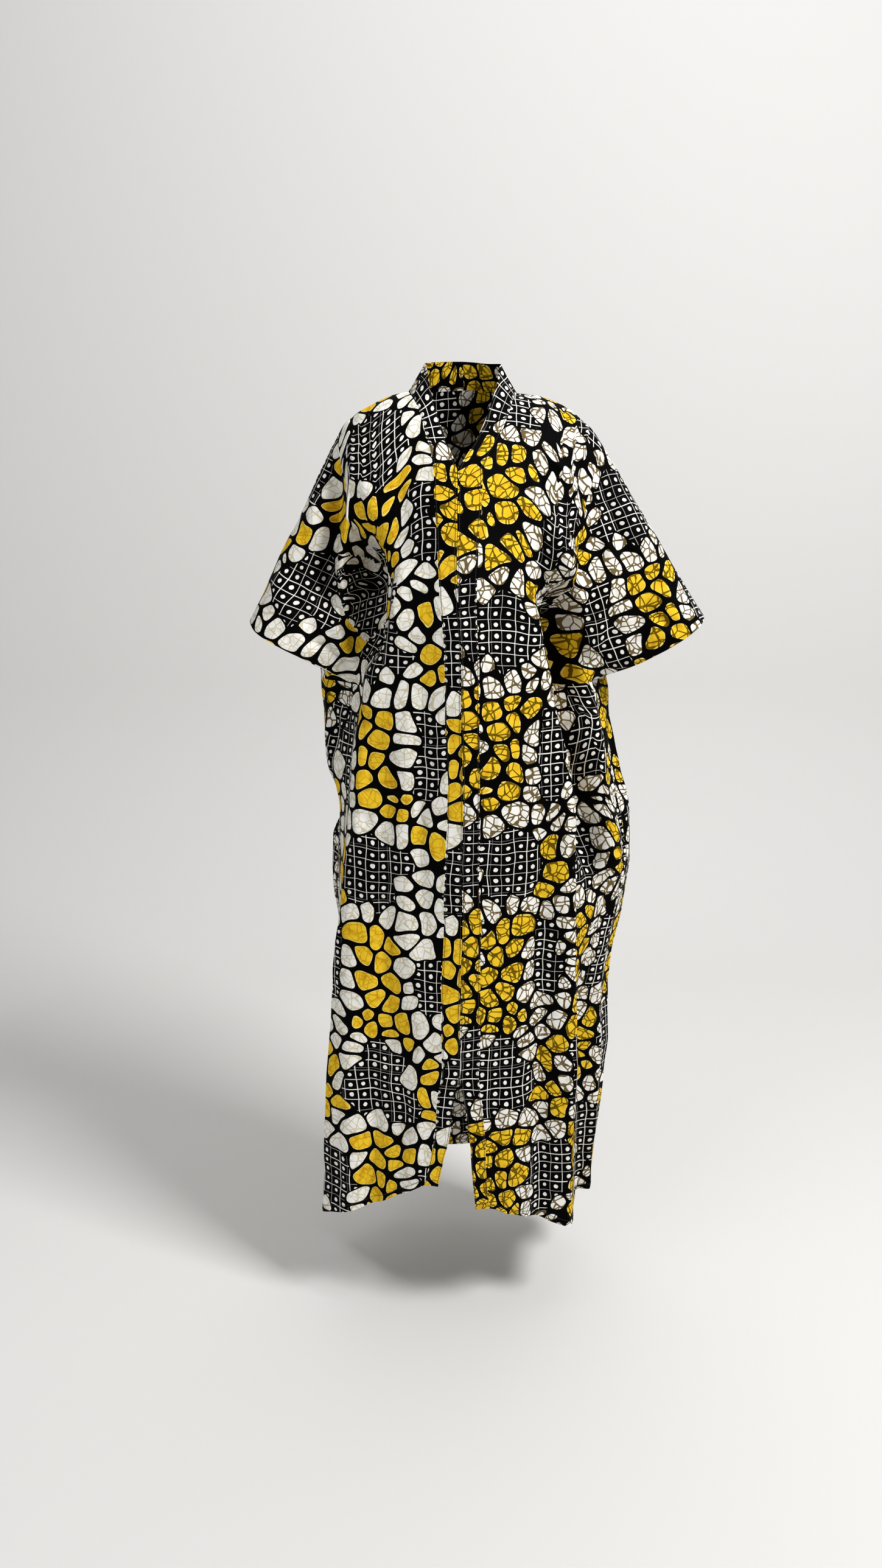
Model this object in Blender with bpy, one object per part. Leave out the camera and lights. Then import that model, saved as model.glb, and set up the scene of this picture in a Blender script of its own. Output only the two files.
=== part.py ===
"""Open-fronted boubou robe in its worn form, hollow, as five cut and sewn pieces.

Metres, +Z up, the front faces -Y and the wearer's left is +X. The origin is the level of the
shoulders where they meet the neck, in the middle of the body: the wearer holds the robe there.

Each half of the robe is a grid. Across, it runs through four stations: 0 at the front band (or the
centre of the back), 1 at the ridge of the front, 2 at the valley beside it and 3 at the side seam.
Down, it runs from 0 on the shoulder and sleeve-top line, through 1 at the level of the underarm, to
2 at the hem. Above the underarm, station 3 is the hem of the sleeve.
"""

import bpy
import numpy as np

NAME = "boubou_robe"

WALL = 0.002
SEAM_SETBACK = 0.00025
CENTRE_GAP = 0.0008

UNDERARM_Z = -0.43
NECK_HALF_WIDTH = 0.081
NECK_BACK_Y = 0.070
NECK_BACK_RISE = 0.006
COLLAR_TOP_HALF_WIDTH = 0.057
COLLAR_TOP_FRONT_Y = 0.012
COLLAR_TOP_BACK_Y = 0.058
COLLAR_TOP_Z = 0.043

UPPER_ROWS = 12
LOWER_ROWS = 19
NECK_COLUMNS = 4
COLUMNS_BY_STATION = (7, 5, 6)
# Stations of the back where its top line reaches each station of the shoulder: the side of the neck
# is the first, because the back also spans the neck.
SHOULDER_STATIONS = (0.0, 1.0, 2.0, 3.0)
BACK_STATIONS = (0.6, 1.2, 2.0, 3.0)

RIGHT, LEFT = -1, 1


def table(columns, *rows):
    """Named columns from rows of numbers."""
    return dict(zip(columns.split(), np.array(rows, float).T))


# The line along the shoulder and the top of the sleeve, from the neck to the corner of the sleeve.
TOP_LINE = {
    RIGHT: table(
        "across x y z",
        (0.0, 0.081, 0.000, 0.000),
        (0.5, 0.111, 0.002, -0.006),
        (1.0, 0.140, 0.004, -0.019),
        (1.5, 0.165, 0.004, -0.034),
        (2.0, 0.188, 0.002, -0.060),
        (2.3, 0.229, -0.002, -0.140),
        (2.65, 0.279, -0.008, -0.237),
        (3.0, 0.328, -0.012, -0.331),
    ),
    LEFT: table(
        "across x y z",
        (0.0, 0.081, 0.000, 0.000),
        (0.5, 0.115, 0.002, -0.004),
        (1.0, 0.150, 0.004, -0.018),
        (1.5, 0.179, 0.004, -0.039),
        (2.0, 0.207, 0.002, -0.071),
        (2.3, 0.256, -0.002, -0.146),
        (2.65, 0.314, -0.008, -0.240),
        (3.0, 0.371, -0.012, -0.329),
    ),
}

# The line of the band from the side of the neck to the underarm level: its seam, then its free edge.
BAND_LINE = {
    RIGHT: table(
        "down x y z edge_x edge_y edge_z",
        (0.00, 0.081, 0.000, 0.000, 0.057, 0.012, 0.043),
        (0.06, 0.072, -0.028, -0.010, 0.051, -0.022, 0.018),
        (0.14, 0.061, -0.055, -0.034, 0.040, -0.046, -0.022),
        (0.25, 0.052, -0.080, -0.066, 0.025, -0.080, -0.068),
        (0.36, 0.043, -0.103, -0.107, 0.0093, -0.106, -0.112),
        (0.50, 0.036, -0.125, -0.158, 0.0093, -0.129, -0.160),
        (0.70, 0.035, -0.147, -0.248, 0.0083, -0.151, -0.249),
        (0.85, 0.028, -0.157, -0.335, 0.0048, -0.161, -0.336),
        (1.00, 0.025, -0.162, -0.430, 0.0028, -0.166, -0.430),
    ),
    LEFT: table(
        "down x y z edge_x edge_y edge_z",
        (0.00, 0.081, 0.000, 0.000, 0.057, 0.012, 0.043),
        (0.06, 0.073, -0.028, -0.010, 0.050, -0.022, 0.014),
        (0.14, 0.064, -0.055, -0.034, 0.037, -0.050, -0.026),
        (0.25, 0.050, -0.080, -0.068, 0.019, -0.080, -0.068),
        (0.36, 0.029, -0.103, -0.107, -0.0087, -0.106, -0.112),
        (0.50, 0.020, -0.125, -0.158, -0.0087, -0.129, -0.160),
        (0.70, 0.019, -0.147, -0.248, -0.0077, -0.151, -0.249),
        (0.85, 0.022, -0.157, -0.335, -0.0042, -0.161, -0.336),
        (1.00, 0.024, -0.162, -0.430, -0.0022, -0.166, -0.430),
    ),
}

# The middle of the front and back. The free edges of the two bands meet on the line at x, down to
# the top of the slit.
CENTRE = table(
    "z x front_y back_y right_width left_width",
    (-1.36, -0.004, -0.190, 0.112, 0.0215, 0.0215),
    (-1.20, -0.004, -0.188, 0.110, 0.0215, 0.0220),
    (-1.00, -0.004, -0.181, 0.106, 0.0280, 0.0290),
    (-0.74, -0.002, -0.172, 0.102, 0.0270, 0.0270),
    (-0.57, -0.002, -0.167, 0.099, 0.0225, 0.0260),
    (-0.43, -0.003, -0.162, 0.098, 0.0230, 0.0260),
    (-0.25, -0.008, -0.149, 0.095, 0.0270, 0.0270),
    (-0.10, -0.009, -0.100, 0.090, 0.0340, 0.0360),
)
SLIT_TOP_Z = -1.02
SLIT = {
    RIGHT: table(
        "z open",
        (-1.36, 0.062),
        (-1.22, 0.036),
        (-1.13, 0.018),
        (-1.06, 0.008),
        (SLIT_TOP_Z, 0.000),
    ),
    LEFT: table(
        "z open",
        (-1.36, 0.034),
        (-1.25, 0.024),
        (-1.13, 0.013),
        (-1.06, 0.005),
        (SLIT_TOP_Z, 0.000),
    ),
}

# Level sections of the body below the underarm. x is measured out from the middle of the body.
SECTIONS = {
    RIGHT: table(
        "z ridge_x ridge_y valley_x valley_y seam_x seam_y wing_x wing_y back_x back_y",
        (-1.36, 0.234, -0.130, 0.236, -0.085, 0.236, -0.030, 0.238, 0.030, 0.150, 0.104),
        (-1.20, 0.228, -0.130, 0.230, -0.085, 0.231, -0.030, 0.236, 0.030, 0.150, 0.103),
        (-1.05, 0.219, -0.130, 0.220, -0.085, 0.221, -0.030, 0.226, 0.030, 0.150, 0.102),
        (-0.86, 0.203, -0.128, 0.203, -0.085, 0.205, -0.030, 0.210, 0.025, 0.150, 0.100),
        (-0.76, 0.190, -0.126, 0.192, -0.085, 0.202, -0.032, 0.223, 0.022, 0.150, 0.098),
        (-0.69, 0.182, -0.125, 0.187, -0.085, 0.200, -0.035, 0.223, 0.020, 0.150, 0.098),
        (-0.62, 0.172, -0.126, 0.180, -0.085, 0.197, -0.038, 0.204, 0.012, 0.150, 0.097),
        (-0.56, 0.163, -0.127, 0.171, -0.080, 0.204, -0.034, 0.224, 0.020, 0.150, 0.096),
        (-0.50, 0.151, -0.127, 0.160, -0.078, 0.184, -0.040, 0.232, 0.020, 0.150, 0.094),
        (-0.43, 0.138, -0.124, 0.149, -0.072, 0.168, -0.040, 0.238, 0.020, 0.150, 0.090),
    ),
    LEFT: table(
        "z ridge_x ridge_y valley_x valley_y seam_x seam_y wing_x wing_y back_x back_y",
        (-1.36, 0.184, -0.146, 0.190, -0.085, 0.217, -0.035, 0.226, 0.030, 0.150, 0.104),
        (-1.20, 0.180, -0.144, 0.188, -0.085, 0.227, -0.035, 0.248, 0.030, 0.150, 0.103),
        (-1.06, 0.175, -0.141, 0.187, -0.082, 0.233, -0.030, 0.258, 0.030, 0.150, 0.102),
        (-0.90, 0.169, -0.138, 0.191, -0.078, 0.232, -0.030, 0.261, 0.030, 0.150, 0.100),
        (-0.80, 0.165, -0.136, 0.209, -0.066, 0.250, -0.024, 0.274, 0.030, 0.150, 0.098),
        (-0.73, 0.162, -0.135, 0.211, -0.064, 0.264, -0.018, 0.278, 0.030, 0.150, 0.098),
        (-0.65, 0.159, -0.134, 0.200, -0.066, 0.254, -0.020, 0.274, 0.030, 0.150, 0.097),
        (-0.57, 0.156, -0.132, 0.187, -0.068, 0.235, -0.022, 0.264, 0.030, 0.150, 0.096),
        (-0.50, 0.152, -0.130, 0.174, -0.070, 0.217, -0.024, 0.250, 0.028, 0.150, 0.094),
        (-0.43, 0.147, -0.126, 0.156, -0.070, 0.204, -0.022, 0.236, 0.026, 0.150, 0.090),
    ),
}

# The level of the hem at each station, front and back.
HEM = {
    RIGHT: table(
        "across front_z back_z",
        (0.0, -1.214, -1.322),
        (0.5, -1.270, -1.325),
        (1.0, -1.300, -1.330),
        (2.0, -1.315, -1.335),
        (3.0, -1.335, -1.335),
    ),
    LEFT: table(
        "across front_z back_z",
        (0.0, -1.255, -1.322),
        (0.5, -1.287, -1.325),
        (1.0, -1.316, -1.328),
        (2.0, -1.318, -1.328),
        (3.0, -1.322, -1.322),
    ),
}

# Folds, as straight lines seen from the front or the back: a ridge stands out by its height, and a
# trough has a negative one. Each fades out over its ends, and one that ends below the hem runs to it.
FOLDS = table(
    "side front x0 z0 x1 z1 width height",
    (RIGHT, 1, 0.172, -0.060, 0.180, -0.300, 0.020, 0.012),
    (RIGHT, 1, 0.195, -0.080, 0.200, -0.320, 0.016, -0.012),
    (RIGHT, 1, 0.150, -0.180, 0.146, -0.400, 0.026, -0.030),
    (RIGHT, 1, 0.108, -0.260, 0.138, -0.480, 0.018, 0.010),
    (RIGHT, 1, 0.085, -0.300, 0.120, -1.600, 0.030, 0.007),
    (RIGHT, 1, 0.070, -0.420, 0.165, -1.500, 0.026, -0.007),
    (RIGHT, 1, 0.260, -0.210, 0.235, -0.390, 0.022, -0.010),
    (LEFT, 1, 0.130, -0.070, 0.190, -0.220, 0.016, 0.007),
    (LEFT, 1, 0.165, -0.080, 0.215, -0.280, 0.016, -0.010),
    (LEFT, 1, 0.120, -0.180, 0.180, -0.320, 0.018, 0.009),
    (LEFT, 1, 0.140, -0.250, 0.165, -0.480, 0.020, -0.016),
    (LEFT, 1, 0.220, -0.240, 0.205, -0.400, 0.018, 0.010),
    (LEFT, 1, 0.285, -0.220, 0.262, -0.400, 0.022, -0.009),
    (LEFT, 1, 0.080, -0.320, 0.095, -1.600, 0.030, 0.006),
    (LEFT, 1, 0.118, -0.500, 0.128, -1.600, 0.024, -0.007),
    (RIGHT, 0, 0.060, -0.160, 0.075, -1.700, 0.028, -0.010),
    (RIGHT, 0, 0.105, -0.220, 0.125, -1.700, 0.030, 0.014),
    (RIGHT, 0, 0.165, -0.180, 0.160, -0.480, 0.024, -0.018),
    (RIGHT, 0, 0.175, -0.500, 0.185, -1.700, 0.024, -0.012),
    (RIGHT, 0, 0.235, -0.200, 0.215, -0.420, 0.022, 0.010),
    (LEFT, 0, 0.045, -0.200, 0.060, -1.700, 0.026, -0.009),
    (LEFT, 0, 0.095, -0.160, 0.110, -1.700, 0.030, 0.013),
    (LEFT, 0, 0.160, -0.160, 0.172, -0.500, 0.024, -0.018),
    (LEFT, 0, 0.168, -0.420, 0.190, -1.700, 0.026, -0.013),
    (LEFT, 0, 0.250, -0.200, 0.230, -0.420, 0.022, 0.010),
)
FOLD_FADE = 0.2

# How the cloth leaves the top line and reaches the underarm level, as slopes of each column.
TOP_SLOPE = table(
    "across y z",
    (0.0, 0.300, -0.060),
    (1.0, 0.330, -0.080),
    (2.0, 0.260, -0.120),
    (3.0, 0.260, -0.060),
)
SLEEVE_HEM_END = (-0.160, 0.060, -0.080)
BACK_SLEEVE_HEM_END = (-0.100, -0.180, -0.060)
BACK_NECK_SLOPE = (0.0, 0.120, -0.300)
FALL = 0.42
V_END = 0.36
BAND_FORWARD = 0.004
BAND_PULL = 1.7
SLOPE_STEP = 0.03

MATERIALS = {
    "wax_print_faint": (0.42, 0.36, 0.16),
    "wax_print_crackled": (0.36, 0.28, 0.08),
}


def eased(at, knots, values):
    """A smooth curve through the values at the knots, read at each place."""
    if knots[0] > knots[-1]:
        knots, values = knots[::-1], values[::-1]
    slopes = np.gradient(values, knots)
    at = np.clip(at, knots[0], knots[-1])
    i = np.clip(np.searchsorted(knots, at) - 1, 0, len(knots) - 2)
    span = knots[i + 1] - knots[i]
    t = (at - knots[i]) / span
    start = (1 + 2 * t) * (1 - t) ** 2 * values[i] + t * (1 - t) ** 2 * span * slopes[i]
    end = t * t * (3 - 2 * t) * values[i + 1] + t * t * (t - 1) * span * slopes[i + 1]
    return start + end


def read(rows, column, at):
    """One column of a table as a smooth curve along its first column."""
    return eased(at, next(iter(rows.values())), rows[column])


def along(stations, across, rounding=0.3):
    """A line through the stations, rounded at each one, read at the place across."""

    def straight(place):
        last = len(stations) - 1
        inside = np.clip(place, 0, last)
        i = np.clip(inside.astype(int), 0, last - 1)
        part = inside - i
        here = np.take_along_axis(stations, i[None], 0)[0]
        after = np.take_along_axis(stations, i[None] + 1, 0)[0]
        value = here * (1 - part) + after * part
        over = place - inside
        return value + over * (after - here)

    return (straight(across - rounding) + 2 * straight(across) + straight(across + rounding)) / 4


def band_x(side, z, edge):
    """How far out a band's free edge, or its seam, lies from the middle at the height z."""
    out = side * read(CENTRE, "x", z) + CENTRE_GAP / 2
    out = out + np.maximum(read(SLIT[side], "open", z), 0)
    width = read(CENTRE, "right_width" if side == RIGHT else "left_width", z)
    return out if edge else out + width


def body_section(side, front, across, z):
    """Points of the body's level section at the height z."""
    rows = SECTIONS[side]
    if front:
        first = (band_x(side, z, False), read(CENTRE, "front_y", z))
        others = ("ridge", "valley", "seam")
    else:
        first = (0 * z, read(CENTRE, "back_y", z))
        others = ("back", "wing", "seam")
    x = along(np.array([first[0]] + [read(rows, other + "_x", z) for other in others]), across)
    y = along(np.array([first[1]] + [read(rows, other + "_y", z) for other in others]), across)
    return np.stack([side * x, y, z], -1)


def hermite(start, start_slope, end, end_slope, t):
    """A curve from start to end with the given slopes, read at t from 0 to 1."""
    t = t[..., None]
    return (
        (1 + 2 * t) * (1 - t) ** 2 * start
        + t * (1 - t) ** 2 * start_slope
        + t * t * (3 - 2 * t) * end
        + t * t * (t - 1) * end_slope
    )


def top_point(side, across):
    """A point of the line along the shoulder and the top of the sleeve."""
    x, y, z = (read(TOP_LINE[side], axis, across) for axis in "xyz")
    return np.stack([side * x, y, z], -1)


def neck_point(side, turn):
    """The seam of the collar round the back of the neck, from 0 at the centre to 1 at the side."""
    angle = turn * np.pi / 2
    return np.stack(
        [
            side * NECK_HALF_WIDTH * np.sin(angle),
            NECK_BACK_Y * np.cos(angle),
            NECK_BACK_RISE * np.cos(angle) ** 2,
        ],
        -1,
    )


def collar_top_point(side, turn):
    """The top edge of the collar above neck_point."""
    angle = turn * np.pi / 2
    depth = COLLAR_TOP_BACK_Y - COLLAR_TOP_FRONT_Y
    return np.stack(
        [
            side * COLLAR_TOP_HALF_WIDTH * np.sin(angle),
            COLLAR_TOP_FRONT_Y + depth * np.cos(angle),
            COLLAR_TOP_Z + NECK_BACK_RISE * np.cos(angle) ** 2,
        ],
        -1,
    )


def hem_z(side, front, across):
    """The height of the hem at a station."""
    return read(HEM[side], "front_z" if front else "back_z", across)


def height(side, front, across, down):
    """The height of a place below the underarm level, where down runs from 1 to 2 at the hem."""
    return hem_z(side, front, across) * (down - 1) + UNDERARM_Z * (2 - down)


def band_point(side, down, edge=""):
    """The band's seam, or its free edge, at a place down the front."""
    x, y, z = (read(BAND_LINE[side], edge + axis, down) for axis in "xyz")
    x = np.where(down < V_END, x, band_x(side, z, edge))
    upper = np.stack([side * x, y, z], -1)
    z = height(side, True, 0 * down, down)
    y = read(CENTRE, "front_y", z) - (BAND_FORWARD if edge else 0)
    lower = np.stack([side * band_x(side, z, edge), y, z], -1)
    return np.where(down[..., None] <= 1, upper, lower)


def fold_height(side, front, points):
    """How far each point of one half is moved out by its folds."""
    total = np.zeros(points.shape[:-1])
    place = np.stack([side * points[..., 0], points[..., 2]], -1)
    for i in np.flatnonzero((FOLDS["side"] == side) & (FOLDS["front"] == front)):
        start = np.array([FOLDS["x0"][i], FOLDS["z0"][i]])
        run = np.array([FOLDS["x1"][i], FOLDS["z1"][i]]) - start
        part = np.clip((place - start) @ run / (run @ run), 0, 1)
        aside = ((place - start - part[..., None] * run) ** 2).sum(-1)
        ends = np.clip(part / FOLD_FADE, 0, 1) * np.clip((1 - part) / FOLD_FADE, 0, 1)
        total += FOLDS["height"][i] * ends * np.exp(-aside / FOLDS["width"][i] ** 2)
    return total


def grid_normals(points):
    """Unit normals of a grid of points."""
    along_rows = np.gradient(points, axis=0)
    along_columns = np.gradient(points, axis=1)
    normals = np.cross(along_rows, along_columns)
    return normals / np.maximum(np.linalg.norm(normals, axis=-1, keepdims=True), 1e-9)


def upper_half(side, front, station, level):
    """Points above the underarm: each column hangs from the top line to the underarm's section."""
    ring = body_section(side, front, station, UNDERARM_Z + 0 * station)
    below = body_section(side, front, station, UNDERARM_Z - SLOPE_STEP + 0 * station)
    end_slope = (below - ring) / SLOPE_STEP * FALL
    if front:
        shoulder = station
        top = top_point(side, shoulder)
    else:
        shoulder = np.interp(station, BACK_STATIONS, SHOULDER_STATIONS)
        at_neck = (station < BACK_STATIONS[0])[..., None]
        neck = neck_point(side, np.clip(station / BACK_STATIONS[0], 0, 1))
        top = np.where(at_neck, neck, top_point(side, shoulder))
    forward = -1 if front else 1
    y_slope = forward * read(TOP_SLOPE, "y", shoulder)
    start_slope = np.stack([0 * station, y_slope, read(TOP_SLOPE, "z", shoulder)], -1)
    if not front:
        near_neck = np.clip(1 - station / (2 * BACK_STATIONS[0]), 0, 1)[..., None]
        start_slope = start_slope * (1 - near_neck) + np.array(BACK_NECK_SLOPE) * near_neck
    in_sleeve = np.clip(shoulder - 2, 0, 1)[..., None] ** 1.5
    sleeve_end = np.array(SLEEVE_HEM_END if front else BACK_SLEEVE_HEM_END) * (side, 1, 1)
    end_slope = end_slope * (1 - in_sleeve) + sleeve_end * in_sleeve
    points = hermite(top, start_slope, ring, end_slope, level)
    if front:
        near_band = np.clip(1 - station / BAND_PULL, 0, 1)[..., None] ** 2
        points = points + near_band * (band_point(side, level) - points[:, :1])
    return points


def half_surface(side, front, across, down):
    """The grid of points of one half, front or back."""
    station, level = np.meshgrid(across, down)
    z = np.minimum(height(side, front, station, level), UNDERARM_Z)
    lower = body_section(side, front, station, z)
    upper = upper_half(side, front, station, np.clip(level, 0, 1))
    points = np.where((level <= 1)[..., None], upper, lower)
    outward = grid_normals(points) * (side if front else -side)
    at_seams = np.clip(station * 3, 0, 1) * np.clip((3 - station) * 4, 0, 1)
    fade = np.clip(level * 4, 0, 1) * at_seams
    return points + outward * (fold_height(side, front, points) * fade)[..., None]


def stations():
    """Places across, as many between each two stations as the columns say."""
    ends = np.cumsum((0,) + COLUMNS_BY_STATION)
    return np.interp(np.arange(ends[-1] + 1), ends, range(len(ends)))


def levels():
    """Places down, closer together under the top line."""
    upper = np.linspace(0, 1, UPPER_ROWS + 1) ** 1.25
    return np.concatenate([upper, np.linspace(1, 2, LOWER_ROWS + 1)[1:]])


def front_grid(side):
    """The front of one side, from the band's seam to the side seam."""
    return half_surface(side, True, stations(), levels())


def back_grid():
    """The back in one piece, from side seam to side seam."""
    shoulder = np.interp(stations(), SHOULDER_STATIONS, BACK_STATIONS)
    across = np.concatenate([np.linspace(0, BACK_STATIONS[0], NECK_COLUMNS + 1)[:-1], shoulder])
    right = half_surface(RIGHT, False, across, levels())
    left = half_surface(LEFT, False, across, levels())
    return np.concatenate([right[:, ::-1], left[:, 1:]], 1)


def band_grid(side):
    """Half of the band: the collar from the centre of the back, then down the front to the hem."""
    turn = np.linspace(0, 1, NECK_COLUMNS + 1)[:-1]
    down = levels()
    seam = np.concatenate([neck_point(side, turn), band_point(side, down)])
    edge = np.concatenate([collar_top_point(side, turn), band_point(side, down, "edge_")])
    return np.stack([seam, (seam + edge) / 2, edge], 1)


def quads(rows, columns, start=0, flip=False):
    """Faces of a grid of points, rows by columns."""
    index = start + np.arange(rows * columns).reshape(rows, columns)
    corners = [index[:-1, :-1], index[:-1, 1:], index[1:, 1:], index[1:, :-1]]
    faces = np.stack(corners, -1).reshape(-1, 4)
    return faces[:, ::-1] if flip else faces


def rim(rows, columns):
    """The points round the edge of a grid, in order."""
    index = np.arange(rows * columns).reshape(rows, columns)
    return np.concatenate([index[0, :-1], index[:-1, -1], index[-1, :0:-1], index[:0:-1, 0]])


def place_key(point):
    """The point to the nearest micrometre, so that points of two pieces at a seam agree."""
    return tuple(np.round(point, 6) + 0.0)


def shared_normals(grids):
    """Normals of every grid, averaged where two of them meet at a seam."""
    sums = {}
    for points, flip in grids.values():
        flat = points.reshape(-1, 3)
        for face in quads(*points.shape[:2], flip=flip):
            corners = flat[face]
            normal = np.cross(corners[2] - corners[0], corners[3] - corners[1])
            for corner in corners:
                sums[place_key(corner)] = sums.get(place_key(corner), 0) + normal
    found = {}
    for name, (points, _) in grids.items():
        normals = np.array([sums[place_key(point)] for point in points.reshape(-1, 3)])
        found[name] = (normals / np.linalg.norm(normals, axis=1, keepdims=True)).reshape(points.shape)
    return found


def set_back(points, sides):
    """The grid with the named edges moved in from their seams."""
    points = points.copy()
    for edge, inner, wanted in (
        (np.s_[0], np.s_[1], "top"),
        (np.s_[-1], np.s_[-2], "bottom"),
        (np.s_[:, 0], np.s_[:, 1], "first"),
        (np.s_[:, -1], np.s_[:, -2], "last"),
    ):
        if wanted in sides:
            run = points[inner] - points[edge]
            points[edge] += SEAM_SETBACK * run / np.linalg.norm(run, axis=-1, keepdims=True)
    return points


def cloth_wall(name, points, normals, sides, flip, material):
    """A closed wall: the grid outside, the same grid moved in by the wall, and a rim between them."""
    outer = set_back(points, sides).reshape(-1, 3)
    inner = outer - WALL * normals.reshape(-1, 3)
    rows, columns = points.shape[:2]
    count = rows * columns
    here = rim(rows, columns)
    after = np.roll(here, -1)
    # Each face of the rim is cut from its higher outer point, so that the rims along a seam match.
    higher = outer[here, 2] >= outer[after, 2]
    far_corner = np.where(higher, after + count, after)
    near_corner = np.where(higher, here, here + count)
    bridge = np.concatenate(
        [
            np.stack([here, here + count, far_corner], -1),
            np.stack([near_corner, after + count, after], -1),
        ]
    )
    if flip:
        bridge = bridge[:, ::-1]
    outside = quads(rows, columns, 0, flip)
    inside = quads(rows, columns, count, not flip)
    faces = outside.tolist() + inside.tolist() + bridge.tolist()
    mesh = bpy.data.meshes.new(name)
    mesh.from_pydata(np.concatenate([outer, inner]).tolist(), [], faces)
    mesh.validate()
    mesh.shade_smooth()
    mesh.materials.append(material)
    return bpy.data.objects.new(name, mesh)


def cloth_material(name, colour):
    material = bpy.data.materials.new(name)
    material.use_nodes = True
    shader = material.node_tree.nodes["Principled BSDF"]
    shader.inputs["Base Color"].default_value = (*colour, 1)
    shader.inputs["Roughness"].default_value = 0.55
    shader.inputs["Metallic"].default_value = 0.0
    return material


def main():
    for old in list(bpy.data.objects):
        bpy.data.objects.remove(old)
    collection = bpy.data.collections.new(NAME)
    bpy.context.scene.collection.children.link(collection)
    materials = {name: cloth_material(name, colour) for name, colour in MATERIALS.items()}
    grids = {
        "front_right": (front_grid(RIGHT), False),
        "front_left": (front_grid(LEFT), True),
        "back": (back_grid(), False),
        "band_right": (band_grid(RIGHT), True),
        "band_left": (band_grid(LEFT), False),
    }
    seams = {
        "front_right": ("top", "first", "last"),
        "front_left": ("top", "first", "last"),
        "back": ("top", "first", "last"),
        "band_right": ("top", "first"),
        "band_left": ("top", "first"),
    }
    normals = shared_normals(grids)
    for name, (points, flip) in grids.items():
        kind = "wax_print_faint" if name == "front_right" else "wax_print_crackled"
        piece = cloth_wall(name, points, normals[name], seams[name], flip, materials[kind])
        collection.objects.link(piece)


if __name__ == "__main__":
    main()
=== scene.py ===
"""Looks of the open-fronted boubou robe: five pieces of wax-print cotton in their worn form, with
their hems, creases and stitching.

Metres, +Z up, the front faces -Y and the wearer's left is +X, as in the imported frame.

Each half of the robe is a grid. Across, it runs through four stations: 0 at the front band (or the
centre of the back), 1 at the ridge of the front, 2 at the valley beside it and 3 at the side seam.
Down, it runs from 0 on the shoulder and sleeve-top line, through 1 at the level of the underarm, to
2 at the hem. Above the underarm, station 3 is the hem of the sleeve.
"""

import logging
from dataclasses import dataclass, field
from enum import Enum, IntEnum

import bpy
import numpy as np
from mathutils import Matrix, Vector, noise

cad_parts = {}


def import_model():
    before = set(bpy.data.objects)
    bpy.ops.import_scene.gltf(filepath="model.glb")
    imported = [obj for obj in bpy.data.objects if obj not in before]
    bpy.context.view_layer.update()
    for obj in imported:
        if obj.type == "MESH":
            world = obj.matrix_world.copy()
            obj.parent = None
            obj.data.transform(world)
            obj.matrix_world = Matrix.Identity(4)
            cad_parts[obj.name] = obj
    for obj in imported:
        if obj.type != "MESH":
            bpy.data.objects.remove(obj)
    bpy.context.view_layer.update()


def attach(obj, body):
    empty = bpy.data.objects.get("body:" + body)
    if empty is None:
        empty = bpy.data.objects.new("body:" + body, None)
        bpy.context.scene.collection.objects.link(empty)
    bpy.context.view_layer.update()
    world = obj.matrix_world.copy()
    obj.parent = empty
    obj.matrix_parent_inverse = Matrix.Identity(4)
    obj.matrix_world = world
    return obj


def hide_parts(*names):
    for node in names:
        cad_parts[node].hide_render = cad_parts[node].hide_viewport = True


BODY = "root"
FAINT_SLOT = "wax_print_faint"
CRACKLED_SLOT = "wax_print_crackled"
CUT_MAP = "cut"
CRACKLE = "crackle"
TINY = 1e-9

log = logging.getLogger("boubou_robe")


class Side(Enum):
    """The wearer's right, at -X, or left, at +X."""

    RIGHT = -1
    LEFT = 1


class Face(Enum):
    """The back or the front of the robe."""

    BACK = 0
    FRONT = 1


class Part(IntEnum):
    """A part of a piece, which has its own place on the flat cut: its number among the cuts."""

    MAIN = 0
    SLEEVE = 1
    TUCKED_IN = 2


def hermite(
    start: np.ndarray, start_slope: np.ndarray, end: np.ndarray, end_slope: np.ndarray, t: np.ndarray
) -> np.ndarray:
    """A smooth curve between two places.

    Args:
        start, end: its ends.
        start_slope, end_slope: its slopes there.
        t: where to read it, from 0 to 1, in a shape that goes with theirs.

    Returns:
        The places on the curve.
    """
    return (
        (1 + 2 * t) * (1 - t) ** 2 * start
        + t * (1 - t) ** 2 * start_slope
        + t * t * (3 - 2 * t) * end
        + t * t * (t - 1) * end_slope
    )


class Rows:
    """A short table: named columns, with a row for each station, height or crease."""

    def __init__(self, columns: str, *rows: tuple[float, ...]) -> None:
        """Keeps the rows by their columns.

        Args:
            columns: the names of the columns, apart by spaces.
            rows: the numbers of each row.
        """
        self.columns = dict(zip(columns.split(), np.array(rows, float).T))

    def __getitem__(self, name: str) -> np.ndarray:
        """The column of that name."""
        return self.columns[name]

    def read(self, name: str, at: np.ndarray) -> np.ndarray:
        """One column as a smooth curve along the first column, whose values rise.

        Args:
            name: the column.
            at: the places to read it at, in the first column's unit.

        Returns:
            The value at each place.
        """
        knots, values = next(iter(self.columns.values())), self.columns[name]
        slopes = np.gradient(values, knots)
        at = np.clip(at, knots[0], knots[-1])
        i = np.clip(np.searchsorted(knots, at) - 1, 0, len(knots) - 2)
        span = knots[i + 1] - knots[i]
        t = (at - knots[i]) / span
        return hermite(values[i], span * slopes[i], values[i + 1], span * slopes[i + 1], t)


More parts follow.
